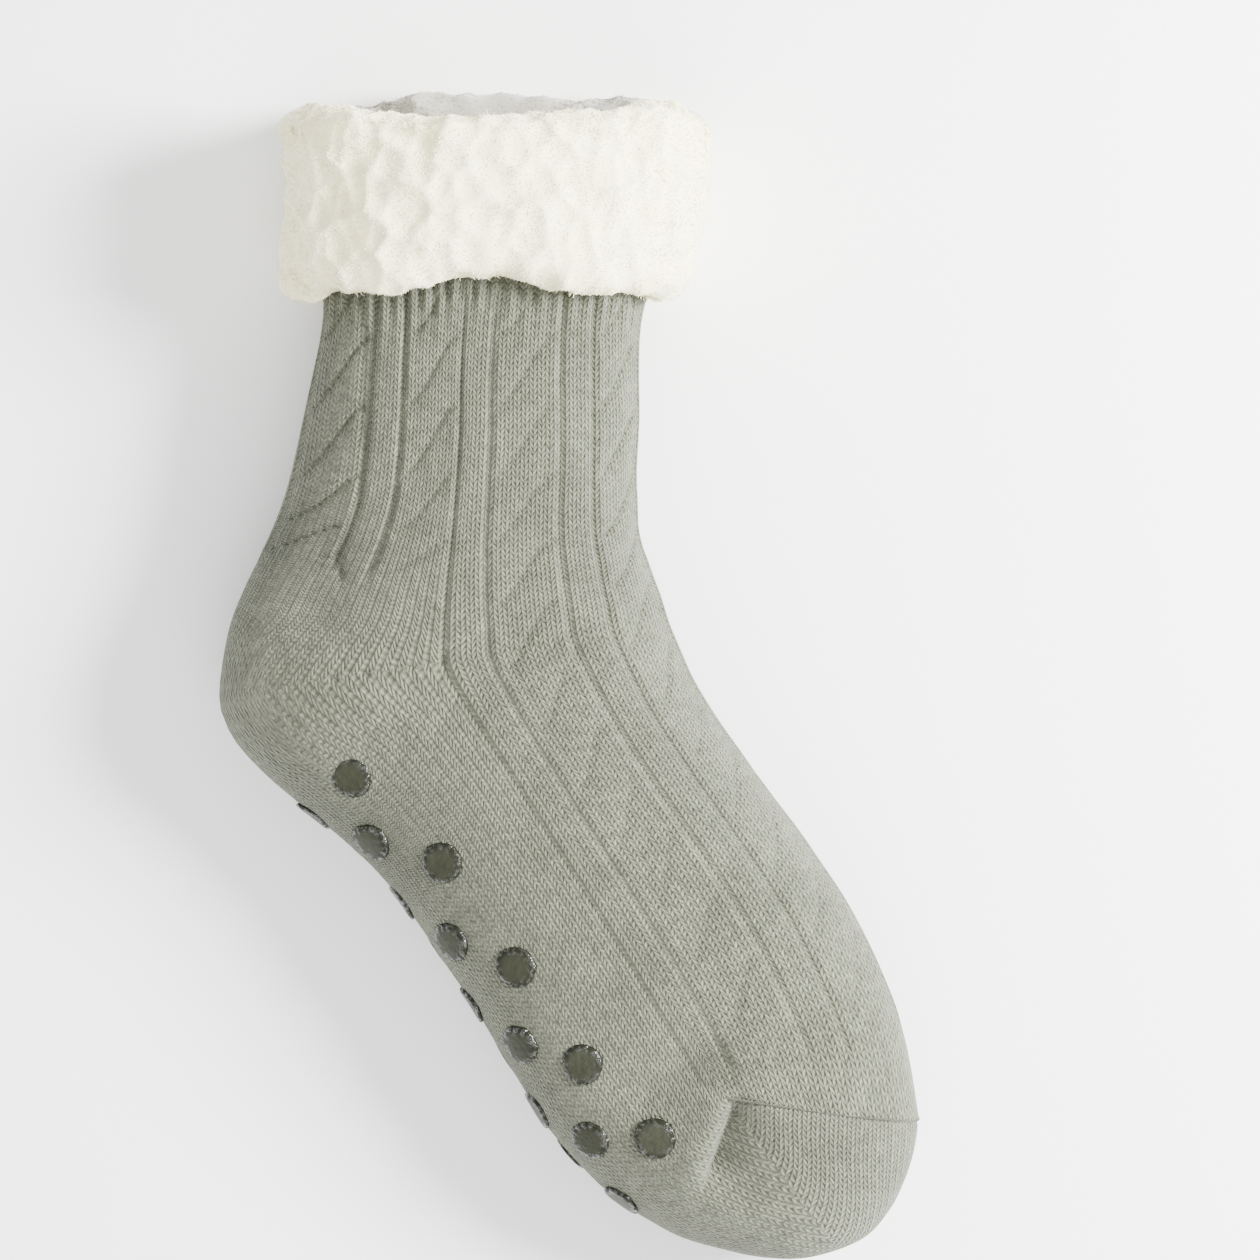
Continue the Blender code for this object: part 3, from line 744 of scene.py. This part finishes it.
def knit_look():
    """Heather yarn, with shade painted between the stitches, in grooves and folds, and in the gore's holes.
    """
    look, tree, shader = new_look("heather_knit")
    stitch = add(tree, "Group", node_tree=STITCHES).outputs
    yarn = add(tree, "Group", {"Light": LIGHT_YARN, "Dark": DARK_YARN}, node_tree=HEATHER).outputs
    toned = sums(tree, "MULTIPLY_ADD", stitch["Tone"], 0.38, 0.79)
    lit = add(tree, "VectorMath", {0: yarn["Color"], 1: toned}, operation="MULTIPLY").outputs[0]
    wale, course = stitch_counts(tree)
    # Painted shade in the grooves of the ribs and ropes, broken into dashes along the courses
    dash = sums(tree, "COSINE", times(tree, course, 2 * math.pi))
    groove = times(tree, painted(tree, "groove"), sums(tree, "MULTIPLY_ADD", dash, 0.30, 0.75))
    # Painted shade in the stitches that open along the heel's gore line
    on_gore = soft_share(tree, sums(tree, "ABSOLUTE", painted(tree, "gore")), 0.0013, 0.0003)
    wave = sums(tree, "SINE", times(tree, wale, 2 * math.pi))
    hole = times(tree, on_gore, sums(tree, "MAXIMUM", sums(tree, "ADD", wave, -0.2), 0.0))
    chance = add(tree, "TexWhiteNoise", {"W": sums(tree, "ROUND", wale)}, noise_dimensions="1D")
    hole = times(tree, hole, soft_share(tree, chance.outputs["Value"], 0.10, 0.50))
    # Painted shade between the stitches, raised to that of the grooves, tucks, folds and the gore's holes
    shade = times(tree, stitch["Gap"], 0.84)
    shade = sums(tree, "MAXIMUM", shade, times(tree, groove, 0.50))
    # Painted shade in the tucks below the cuff, in the creases' troughs and beside the toe's seam
    shade = sums(tree, "MAXIMUM", shade, times(tree, painted(tree, "painted_fold_shade"), 0.44))
    shade = sums(tree, "MINIMUM", sums(tree, "MAXIMUM", shade, hole), 0.95)
    lowered = sums(tree, "MULTIPLY_ADD", hole, -1.2, stitch["Height"])
    raised_stitches = bumped(tree, lowered, STITCH_DEPTH, 1.0)
    fill(tree, shader, {
        "Base Color": blend_colours(tree, shade, lit, SHADOW_YARN),
        "Roughness": sums(tree, "MULTIPLY_ADD", yarn["Fuzz"], 0.2, 0.78),
        "Specular IOR Level": 0.25,
        "Sheen Weight": 0.25,
        "Sheen Roughness": 0.5,
        "Sheen Tint": (0.85, 0.86, 0.78, 1.0),
        "Normal": bumped(tree, yarn["Fuzz"], FUZZ_DEPTH, 0.7, Normal=raised_stitches),
    })
    return look


knit.data.materials.append(knit_look())


# The fleece cuff
# Cream long-pile fleece: the sock's lining comes out at the top, folds over the knitted rim and
# hangs down outside as a soft band. A lumpy body carries locks of fine curls, rooted all over it.

FLEECE = 0.0112  # pile and backing of the band
LINING = 0.0045  # the same fleece inside the leg
LINING_DEPTH = 0.055  # how far the body goes on inside the leg
NEAR_RISE = 0.0036  # the fold above the rim, on the upper layer
FAR_RISE = 0.0135  # and on the layer underneath
SCALLOP = 0.0022  # waves of the hem
RIM_WAVE = 0.0012  # and of the fold
LOCK_SIZE = 0.0056  # one clump of pile
LOCK_LIFT = 0.0019  # its height over the valleys beside it
LOCK_SQUASH = 0.22  # share by which locks are longer down the leg
LOCK_WANDER = 0.0020  # how far noise pushes their borders
BAND_LIFT = 0.0017  # broad unevenness of the band
BAND_CLEAR = 0.0004  # height of the pressed side over the floor
CUFF_AROUND = 360  # mesh columns round the band
CUFF_STEPS = {"hem": 12, "face": 58, "fold": 40, "inner": 40}  # and rows of each stretch
CURLS = 54000
CURL_STATIONS = 6  # pairs of points along a curl
CURL_LENGTH = 0.0046
CURL_WIDTH = 0.00030
CURL_RADIUS = 0.00042
CURL_ROOT = 0.0003  # depth of a curl's root in the body
STAND = 0.0007  # least height of a curl over the body
STAND_SPREAD = 0.0014  # what chance adds
STRAY_STAND = 0.0016  # and what it adds to the few that stand out
CURL_SEED = 11
SHADE_SEED = 5
PILE_CREAM = (0.985, 0.960, 0.620, 1.0)
VALLEY_CREAM = (0.955, 0.910, 0.540, 1.0)
# painted shade at the roots of the pile and between its locks
ROOT_SHADE_CREAM = (0.830, 0.780, 0.520, 1.0)
# painted shade on the inner side of the fold
INSIDE_SHADE = (0.200, 0.190, 0.172, 1.0)

leg_along = np.array([row.along for row in LEG_ROWS])
leg_steps = np.linspace(0.0, len(LEG_ROWS) - 1, 81)
leg_drops = (1.0 - smooth_through(leg_along, leg_steps)) * LEG_LENGTH


def leg_points(depths, angles, offsets):
    """Points round the leg at depths below the rim and offsets from its outer face."""
    places = np.interp(np.maximum(depths, 0.0), leg_drops, leg_steps)
    points = section_points(smooth_through(SECTIONS, places), angles, offsets)
    above = np.maximum(-depths, 0.0)
    points[:, 0] += LEG_AXIS.x * above
    points[:, 1] += LEG_AXIS.y * above
    return points


def cuff_grid():
    """The band's plain surface: from the hem's inner edge round the hem, up its face, over the fold
    and down the inside."""
    angles = np.linspace(0.0, 2 * math.pi, CUFF_AROUND, endpoint=False)
    rise = NEAR_RISE + (FAR_RISE - NEAR_RISE) * (0.5 - 0.5 * np.sin(angles))
    rise += RIM_WAVE * (0.6 * np.sin(3 * angles + 1.0) + 0.4 * np.sin(8 * angles))
    drop = HEM_DEPTH + SCALLOP * (0.6 * np.sin(3 * angles) + 0.4 * np.sin(7 * angles))
    outside = SEAT_GAP + FLEECE
    inside = WALL + SEAT_GAP + LINING
    end = FLEECE / 2
    half = (outside + inside) / 2
    rows = []
    for swing in np.linspace(0.0, math.pi, CUFF_STEPS["hem"], endpoint=False):
        rows.append((drop - end + end * math.sin(swing), outside - end * (1 + math.cos(swing))))
    for share in np.linspace(1.0, 0.0, CUFF_STEPS["face"], endpoint=False):
        rows.append(((drop - end) * share, outside))
    for swing in np.linspace(0.0, math.pi, CUFF_STEPS["fold"], endpoint=False):
        rows.append((-rise * math.sin(swing), outside - half * (1 - math.cos(swing))))
    for depth in np.linspace(0.0, LINING_DEPTH, CUFF_STEPS["inner"]):
        rows.append((np.full(CUFF_AROUND, depth), -inside))
    return np.array([leg_points(depths, angles, offset) for depths, offset in rows])


def noise_at(point):
    """Three noise values at a point, the same on every run."""
    return Vector([noise.noise(point + Vector((step, 0.0, 0.0))) for step in (0.0, 31.7, 67.3)])


def lock_at(point):
    """The lock of pile that a point belongs to, as a seed, and the height of its dome there."""
    spot = point + noise_at(point * 90.0) * LOCK_WANDER
    along = spot.x * LEG_AXIS.x + spot.y * LEG_AXIS.y
    spot -= Vector((LEG_AXIS.x, LEG_AXIS.y, 0.0)) * along * LOCK_SQUASH
    near, centres = noise.voronoi(spot / LOCK_SIZE)
    return centres[0] * LOCK_SIZE, max(0.0, 1.0 - 1.25 * near[0] ** 2)


def cuff_body():
    """The band's surface raised into locks, with its outward normals and the locks' domes."""
    plain = cuff_grid()
    normals = grid_normals(plain, True)
    rise = np.zeros(plain.shape[:2])
    domes = np.zeros(plain.shape[:2])
    for i, row in enumerate(plain):
        for j, spot in enumerate(row):
            point = Vector(spot)
            broad = noise.noise(point * 75.0) + 0.8 * noise.noise(point * 36.0)
            domes[i, j] = lock_at(point)[1]
            rise[i, j] = LOCK_LIFT * (domes[i, j] - 0.6) + BAND_LIFT * broad
    lifted = plain + normals * rise[:, :, None]
    lifted[:, :, 2] = np.maximum(lifted[:, :, 2], BAND_CLEAR)
    return lifted, normals, domes


def unit(vectors):
    """Vectors of length 1."""
    return vectors / np.maximum(np.linalg.norm(vectors, axis=-1, keepdims=True), 1e-12)


def curl_ribbons(body, normals, count, seed):
    """Curly strands that lean together into locks, as arrays of ribbon edge points."""
    pick = np.random.default_rng(seed)
    rows, columns = body.shape[:2]
    last = rows - CUFF_STEPS["inner"] // 2
    edges = np.linalg.norm(np.diff(body, axis=0), axis=2).mean(axis=1)[:last]
    i = pick.choice(len(edges), count, p=edges / edges.sum())
    j = pick.integers(0, columns, count)
    f, g = pick.random(count)[:, None], pick.random(count)[:, None]
    across = (j + 1) % columns
    root = (body[i, j] * (1 - f) + body[i + 1, j] * f) * (1 - g)
    root = root + body[i, across] * g * (1 - f) + body[i + 1, across] * g * f
    normal = unit(normals[i, j])
    middle = np.array([lock_at(Vector(spot))[0] for spot in root])
    hang = unit(body[np.maximum(i - 1, 0), j] - body[i + 1, j])
    sway = np.array([noise_at(Vector(spot) * 110.0) for spot in middle])
    lean = unit(hang * 0.5 + sway * 2.0 + 0.5 * (pick.random((count, 3)) - 0.5))
    lean -= normal * (lean * normal).sum(axis=1, keepdims=True)
    side = unit(np.cross(normal, lean))
    length = CURL_LENGTH * (0.6 + 0.7 * pick.random(count))[:, None]
    phase = 2 * math.pi * pick.random(count)[:, None]
    turns = (1.2 + 1.3 * pick.random(count))[:, None] * 2 * math.pi
    curl = CURL_RADIUS * (0.5 + pick.random(count))[:, None]
    stray = pick.random(count)[:, None] ** 4
    stand = STAND + STAND_SPREAD * pick.random(count)[:, None] + STRAY_STAND * stray
    path = []
    for s in np.linspace(0.0, 1.0, CURL_STATIONS):
        reach = lean * length * s * (0.55 + 0.35 * s)
        lift = normal * stand * math.sin(2.3 * s)
        turn = phase + turns * s
        coil = (side * np.cos(turn) + normal * np.sin(turn)) * curl * min(1.0, 3 * s)
        path.append(root + reach + lift + coil - normal * CURL_ROOT * (1 - s))
    path = np.stack(path, axis=1)
    forward = unit(np.gradient(path, axis=1))
    flat = unit(np.cross(normal[:, None, :], forward))
    taper = (1.0 - 0.65 * np.linspace(0.0, 1.0, CURL_STATIONS) ** 2)[None, :, None]
    half = flat * CURL_WIDTH / 2 * taper
    ribbon = np.stack([path - half, path + half], axis=2)
    ribbon[..., 2] = np.maximum(ribbon[..., 2], FLOOR_CLEAR)
    return ribbon


def array_mesh(name, points, quads):
    """A piece from an array of points and the corners of its four-sided faces."""
    mesh = bpy.data.meshes.new(name)
    mesh.vertices.add(len(points))
    mesh.vertices.foreach_set("co", (points + SHIFT).ravel())
    mesh.loops.add(quads.size)
    mesh.loops.foreach_set("vertex_index", quads.ravel().astype(np.int32))
    mesh.polygons.add(len(quads))
    mesh.polygons.foreach_set("loop_start", np.arange(0, quads.size, 4, dtype=np.int32))
    mesh.update(calc_edges=True)
    return add_piece(name, mesh)


def ribbon_mesh(name, ribbon):
    """One mesh of many ribbons of four-sided faces."""
    count, stations = ribbon.shape[:2]
    start = np.arange(count)[:, None] * stations * 2 + np.arange(stations - 1)[None, :] * 2
    quads = np.stack([start, start + 1, start + 3, start + 2], axis=-1).reshape(-1, 4)
    return array_mesh(name, ribbon.reshape(-1, 3), quads)


def fleece_group():
    """Tone of the pile: warm and cool patches, painted shade at the roots and between the locks, and a
    painted grey shade on the inner side of the fold.
    """
    tones = [("Pile", PILE_CREAM), ("Valley", VALLEY_CREAM), ("RootShade", ROOT_SHADE_CREAM), ("Inside", INSIDE_SHADE)]
    tree, given, out = shader_group(
        "fleece_tone",
        [(name, "Color", colour) for name, colour in tones],
        [("Color", "Color"), ("Grain", "Float")],
    )
    patch = speckles(tree, 110.0, 3.0).outputs[0]
    grain = speckles(tree, 1400.0, 3.0, Roughness=0.7).outputs[0]
    shown = blend_colours(tree, soft_share(tree, patch, 0.35, 0.62), given["Valley"], given["Pile"])
    # Painted shade at the roots of the curls and in the valleys between locks
    shown = blend_colours(tree, painted(tree, "tip"), given["RootShade"], shown)
    # Painted grey shade on the inner side of the fold
    shown = blend_colours(tree, times(tree, painted(tree, "inside"), 0.85), shown, given["Inside"])
    fill(tree, out, {"Color": shown, "Grain": grain})
    return tree


FLEECE_TONE = fleece_group()


def fleece_look():
    """Dull cream pile with a soft sheen and a fine grain."""
    look, tree, shader = new_look("curly_fleece")
    tone = add(tree, "Group", node_tree=FLEECE_TONE).outputs
    fill(tree, shader, {
        "Base Color": tone["Color"],
        "Roughness": 0.9,
        "Specular IOR Level": 0.2,
        "Sheen Weight": 0.50,
        "Sheen Roughness": 0.6,
        "Normal": bumped(tree, tone["Grain"], 0.0004, 0.6),
    })
    return look


def inside_share(points):
    """How far points lie down the inner side of the fold, on the layer underneath, where grey shade is
    painted.
    """
    rim = np.array([ANKLE.x + LEG_AXIS.x * LEG_LENGTH, ANKLE.y + LEG_AXIS.y * LEG_LENGTH])
    points = points.reshape(-1, 3)
    along = (points[:, 0:2] - rim) @ np.array([LEG_AXIS.x, LEG_AXIS.y])
    low = 1.0 - smooth_step(0.016, 0.036, points[:, 2])
    clear = smooth_step(0.0020, 0.0080, points[:, 2])
    return low * clear * smooth_step(0.0000, 0.0070, along)


curly_fleece = fleece_look()
body, body_normals, domes = cuff_body()
cuff = array_mesh("fleece_body", body.reshape(-1, 3), grid_quads(*body.shape[:2]))
# Painted grey shade on the fold's inner side
point_layer(cuff, "inside", inside_share(body))
# Painted shade in the valleys between locks, lighter on their domes
point_layer(cuff, "tip", 0.25 + 0.6 * domes)
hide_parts("fleece_cuff")
cuff.data.materials.append(curly_fleece)
curls = curl_ribbons(body, body_normals, CURLS, CURL_SEED)
# Shade is painted on the pile at its roots, and each curl has a tone of its own
curl_root_shading = np.linspace(0.25, 1.0, CURL_STATIONS)[None, :, None] * np.ones((1, 1, 2))
curl_shades = 0.55 + 0.45 * np.random.default_rng(SHADE_SEED).random(CURLS)
for n, picked in enumerate(np.array_split(np.arange(CURLS), 3)):
    pile = ribbon_mesh(f"fleece_curls_{n + 1}", curls[picked])
    point_layer(pile, "inside", inside_share(curls[picked]))
    point_layer(pile, "tip", curl_root_shading * curl_shades[picked][:, None, None])
    pile.data.materials.append(curly_fleece)


# The toe seam
# The open loops of the toe's pocket are linked to the instep's with the same yarn. The chain shows
# as a thin twisted line in a groove across the top of the toes.

SEAM_STRAND = 0.00025  # radius of each of the chain's two yarns
SEAM_TURN = 0.0021  # length of one twist
SEAM_SINK = 0.0003  # how deep the chain lies in its groove
SEAM_STEPS = 480  # mesh rings along the seam
STRAND_SIDES = 8
SEAM_LIGHT = (0.080, 0.082, 0.058, 1.0)
SEAM_DARK = (0.030, 0.031, 0.022, 1.0)

seam_angles = np.linspace(math.pi / 2, 3 * math.pi / 2, SEAM_STEPS)
seam_path = section_points(SECTIONS[-1], seam_angles, -SEAM_SINK)
seam_walk = walked_along(seam_path)
seam_along = unit(np.gradient(seam_path, axis=0))
seam_out = unit(section_points(SECTIONS[-1], seam_angles, 0.001) - seam_path)
seam_side = unit(np.cross(seam_along, seam_out))


def seam_tube(phase):
    """One of the chain's two yarns, wound round the seam's line."""
    turn = (2 * math.pi * seam_walk / SEAM_TURN + phase)[:, None]
    centre = seam_path + (seam_side * np.cos(turn) + seam_out * np.sin(turn)) * SEAM_STRAND * 0.9
    rounds = []
    for k in range(STRAND_SIDES):
        swing = 2 * math.pi * k / STRAND_SIDES
        rounds.append(centre + (seam_side * math.cos(swing) + seam_out * math.sin(swing)) * SEAM_STRAND)
    return np.stack(rounds, axis=1)


def seam_look():
    """The sock's yarn, drawn tight and darker."""
    look, tree, shader = new_look("seam_yarn")
    yarn = add(tree, "Group", {"Light": SEAM_LIGHT, "Dark": SEAM_DARK}, node_tree=HEATHER).outputs
    fill(tree, shader, {
        "Base Color": yarn["Color"],
        "Roughness": 0.92,
        "Normal": bumped(tree, yarn["Fuzz"], 0.0002, 0.7),
    })
    return look


seam_tubes = np.concatenate([seam_tube(0.0), seam_tube(math.pi)])
seam_tubes[..., 2] = np.maximum(seam_tubes[..., 2], FLOOR_CLEAR)
strand_quads = grid_quads(SEAM_STEPS, STRAND_SIDES)
seam_quads = np.concatenate([strand_quads, strand_quads + SEAM_STEPS * STRAND_SIDES])
seam = array_mesh("seam_chain", seam_tubes.reshape(-1, 3), seam_quads)
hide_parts("toe_seam")
seam.data.materials.append(seam_look())


# The lining
# The same fleece goes on inside the sock to the toe, glued by its pile to the knit. It shows only
# through the mouth, so it is one plain closed skin.

LINING_START = 0.0555  # just below the inner end of the cuff's body
LINING_GIVE = 1.2  # share of the knit's creases that it follows, to keep clear of them

lining_wales = np.arange(0.0, WALES, 2.6)
lining_top = leg_steps[int(np.argmin(abs(leg_drops - LINING_START)))]
lining_places = np.linspace(lining_top, LAST_ROW - 0.25, 70)


def lining_skin(offset):
    """Rings of points at an offset from the face of the sock."""
    return np.array([ring(smooth_through(SECTIONS, place), lining_wales, offset) for place in lining_places])


def under_creases(skin):
    """The lining gives way under the knit's creases."""
    moved = skin.copy()
    moved[..., 2] += LINING_GIVE * np.minimum(crease_height(lining_skin(0.0)), 0.0)
    return moved


outer_skin = under_creases(lining_skin(-WALL - SEAT_GAP))
inner_skin = under_creases(lining_skin(-WALL - LINING))
lining_points = np.concatenate([outer_skin, inner_skin[::-1]])
lining_quads = grid_quads(len(lining_points), len(lining_wales))
loop = np.arange(len(lining_wales))
last = (len(lining_points) - 1) * len(loop)
closing = np.stack([last + loop, last + np.roll(loop, -1), np.roll(loop, -1), loop], axis=-1)
lining = array_mesh("fleece_lining", lining_points.reshape(-1, 3), np.concatenate([lining_quads, closing]))
# Without a tip layer the lining takes the painted root shade all over
lining.data.materials.append(curly_fleece)


# The grip studs
# Soft PVC dots printed on the sole and cured there: low, crowned and glossy, a little cloudy, with
# a rim that wanders where the paste ran into the stitches.

STUD_DIAMETER = 0.0112
STUD_HEIGHT = 0.0009
PRINT_LIFT = 0.0001  # of the whole dot over the fabric
STUD_ROWS = 9
STUD_FIRST_ROW = 0.232  # place on the sole's line, from 0 at the heel's gore to 1 at the toe cap
STUD_LAST_ROW = 0.962  # and place of the last row
STUD_COLUMN_PITCH = 0.0135
STUD_COLUMN_SHIFT = 0.003  # of the middle column, from the sole's edge line to the upper side
STUD_TOE_SHIFT = 0.0045  # what is added to it at the toe
STUD_LAG = 0.0040  # how far the outer dots of the end rows lie back
RIM_WANDER = 0.036  # broad unevenness of the rim, as a share of the radius
RIM_RAG = 0.046  # and the fine one
STUD_ROUND = 40  # mesh points round a dot
# Shares of the radius and of the height, from the middle over the crown to the base
STUD_PROFILE = [
    (0.0, 0.86), (0.30, 0.88), (0.58, 0.95), (0.78, 1.0),
    (0.90, 0.93), (0.97, 0.70), (1.0, 0.35), (0.985, -0.35),
]
PROBE = 0.02  # step from section to section, for the sole's direction
SIDE_PROBE = 0.0002  # and step across it
RUBBER_PALE = (0.030, 0.032, 0.019, 1.0)
RUBBER_DARK = (0.012, 0.013, 0.007, 1.0)
RUBBER_RIM = (0.007, 0.008, 0.004, 1.0)

sole_places = np.linspace(GORE_ROW, LAST_ROW, (LAST_ROW - GORE_ROW) * 8 + 1)
sole_walk = walked_along(smooth_through(SECTIONS, sole_places)[:, 0:2])


def sole_point(place, across, offset):
    """Point on the sole, at a place along the sock and an arc distance from its edge line."""
    section = smooth_through(SECTIONS, place)
    turns = math.copysign(1.0, across) * ARC_ANGLES
    angle = np.interp(abs(across), walked_along(section_points(section, turns)), turns)
    return section_points(section, np.array([angle]), offset)[0]


def stud_mesh(place, across, seed):
    """One dot as rings of points that follow the sole's curve."""
    here = sole_point(place, across, 0.0)
    along = (here - sole_point(place - PROBE, across, 0.0)) / PROBE
    aside = unit(sole_point(place, across + SIDE_PROBE, 0.0) - here)
    skew = float(along @ aside)
    forward = float(np.linalg.norm(along - aside * skew))
    rings = []
    for share, height in STUD_PROFILE:
        line = []
        for k in range(STUD_ROUND):
            turn = 2 * math.pi * k / STUD_ROUND
            spot = Vector((math.cos(turn) * 2.6, math.sin(turn) * 2.6, seed * 7.3))
            ragged = RIM_WANDER * noise.noise(spot) + RIM_RAG * noise.noise(spot * 3.1)
            radius = STUD_DIAMETER / 2 * share * (1.0 + ragged * share**4)
            step = radius * math.cos(turn) / forward
            aside_by = across + radius * math.sin(turn) - step * skew
            line.append(sole_point(place + step, aside_by, STUD_HEIGHT * height + PRINT_LIFT))
        rings.append(line)
    return np.array(rings)


def stud_look():
    """Cloudy dark rubber, with a wet gloss in spots along the rim."""
    look, tree, shader = new_look("printed_rubber")
    edge = painted(tree, "rim")
    cloud = speckles(tree, 420.0, 3.0).outputs[0]
    dimple = speckles(tree, 700.0, 2.0).outputs[0]
    wet = times(tree, soft_share(tree, dimple, 0.46, 0.54), edge)
    clouded = blend_colours(tree, cloud, RUBBER_PALE, RUBBER_DARK)
    fill(tree, shader, {
        "Base Color": blend_colours(tree, edge, clouded, RUBBER_RIM),
        "Roughness": 0.42,
        "Specular IOR Level": 0.12,
        "Normal": bumped(tree, dimple, 0.0004, 0.3),
        "Coat Weight": sums(tree, "MULTIPLY_ADD", wet, 0.95, 0.05),
        "Coat Roughness": 0.06,
        "Coat Normal": bumped(tree, dimple, 0.0010, 1.0),
    })
    return look


rubber = stud_look()
rim_mask = smooth_step(0.62, 0.92, np.repeat([share for share, height in STUD_PROFILE], STUD_ROUND))
stud_number = 0
for row in range(STUD_ROWS):
    share = row / (STUD_ROWS - 1)
    along = sole_walk[-1] * (STUD_FIRST_ROW + (STUD_LAST_ROW - STUD_FIRST_ROW) * share)
    for column in (-2, 0, 2) if row % 2 == 0 else (-1, 1):
        lag = STUD_LAG * abs(column) / 2 * (2 * share - 1) ** 2
        place = float(np.interp(along - lag, sole_walk, sole_places))
        across = column * STUD_COLUMN_PITCH + STUD_COLUMN_SHIFT + STUD_TOE_SHIFT * share**2
        stud_number += 1
        rings = stud_mesh(place, across, stud_number)
        quads = grid_quads(*rings.shape[:2])
        dot = array_mesh(f"grip_dot_{stud_number:02d}", rings.reshape(-1, 3), quads)
        point_layer(dot, "rim", rim_mask)
        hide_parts(f"grip_stud_{stud_number:02d}")
        dot.data.materials.append(rubber)


# Floor, light and camera
# A pale floor under a bright even sky. The key lamp stands to the photo's right and the fill below
# it. The camera looks straight down, rolled so that the sole runs down to the right.

FLOOR_REACH = 6.0
PHOTO_SIZE = 1260  # pixels
SCALE = 0.0002759  # metres to a pixel
FRAMING = 0.987  # the camera's distance, over what the scale alone gives
MIDDLE_HEIGHT = 0.03  # of the sock, where the scale holds
SOLE_TURN = math.radians(49.8)  # roll of the camera from the sole's direction
LENS = 120.0
SENSOR = 36.0
SKY_STRENGTH = 1.65

corners = [(x * FLOOR_REACH, y * FLOOR_REACH, 0) for x, y in ((-1, -1), (1, -1), (1, 1), (-1, 1))]
floor_mesh = bpy.data.meshes.new("floor")
floor_mesh.from_pydata(corners, [], [(0, 1, 2, 3)])
floor = placed("floor", floor_mesh)
pale, tree, shader = new_look("pale_floor")
fill(tree, shader, {"Base Color": (0.88, 0.88, 0.88, 1.0), "Roughness": 0.85})
floor_mesh.materials.append(pale)

optics = bpy.data.cameras.new("camera")
optics.lens = LENS
optics.sensor_width = SENSOR
camera = placed("camera", optics)
camera.location = (0.0, 0.0, PHOTO_SIZE * SCALE * LENS / SENSOR * FRAMING + MIDDLE_HEIGHT)
camera.rotation_euler = (0.0, 0.0, SOLE_TURN)
bpy.context.scene.camera = camera

sky = bpy.data.worlds.new("studio")
sky.use_nodes = True
background = sky.node_tree.nodes["Background"]
fill(sky.node_tree, background, {"Color": (1.0, 1.0, 1.0, 1.0), "Strength": SKY_STRENGTH})
bpy.context.scene.world = sky


def lamp(name, place, size, power):
    """A round lamp that shines at the middle of the sock."""
    data = bpy.data.lights.new(name, "AREA")
    data.shape = "DISK"
    data.size = size
    data.energy = power
    light = placed(name, data)
    light.location = place
    light.rotation_euler = Vector(place).to_track_quat("Z", "Y").to_euler()


lamp("key", (0.45, 0.85, 0.68), 0.50, 95.0)
lamp("fill", (0.75, -0.55, 1.2), 1.4, 24.0)
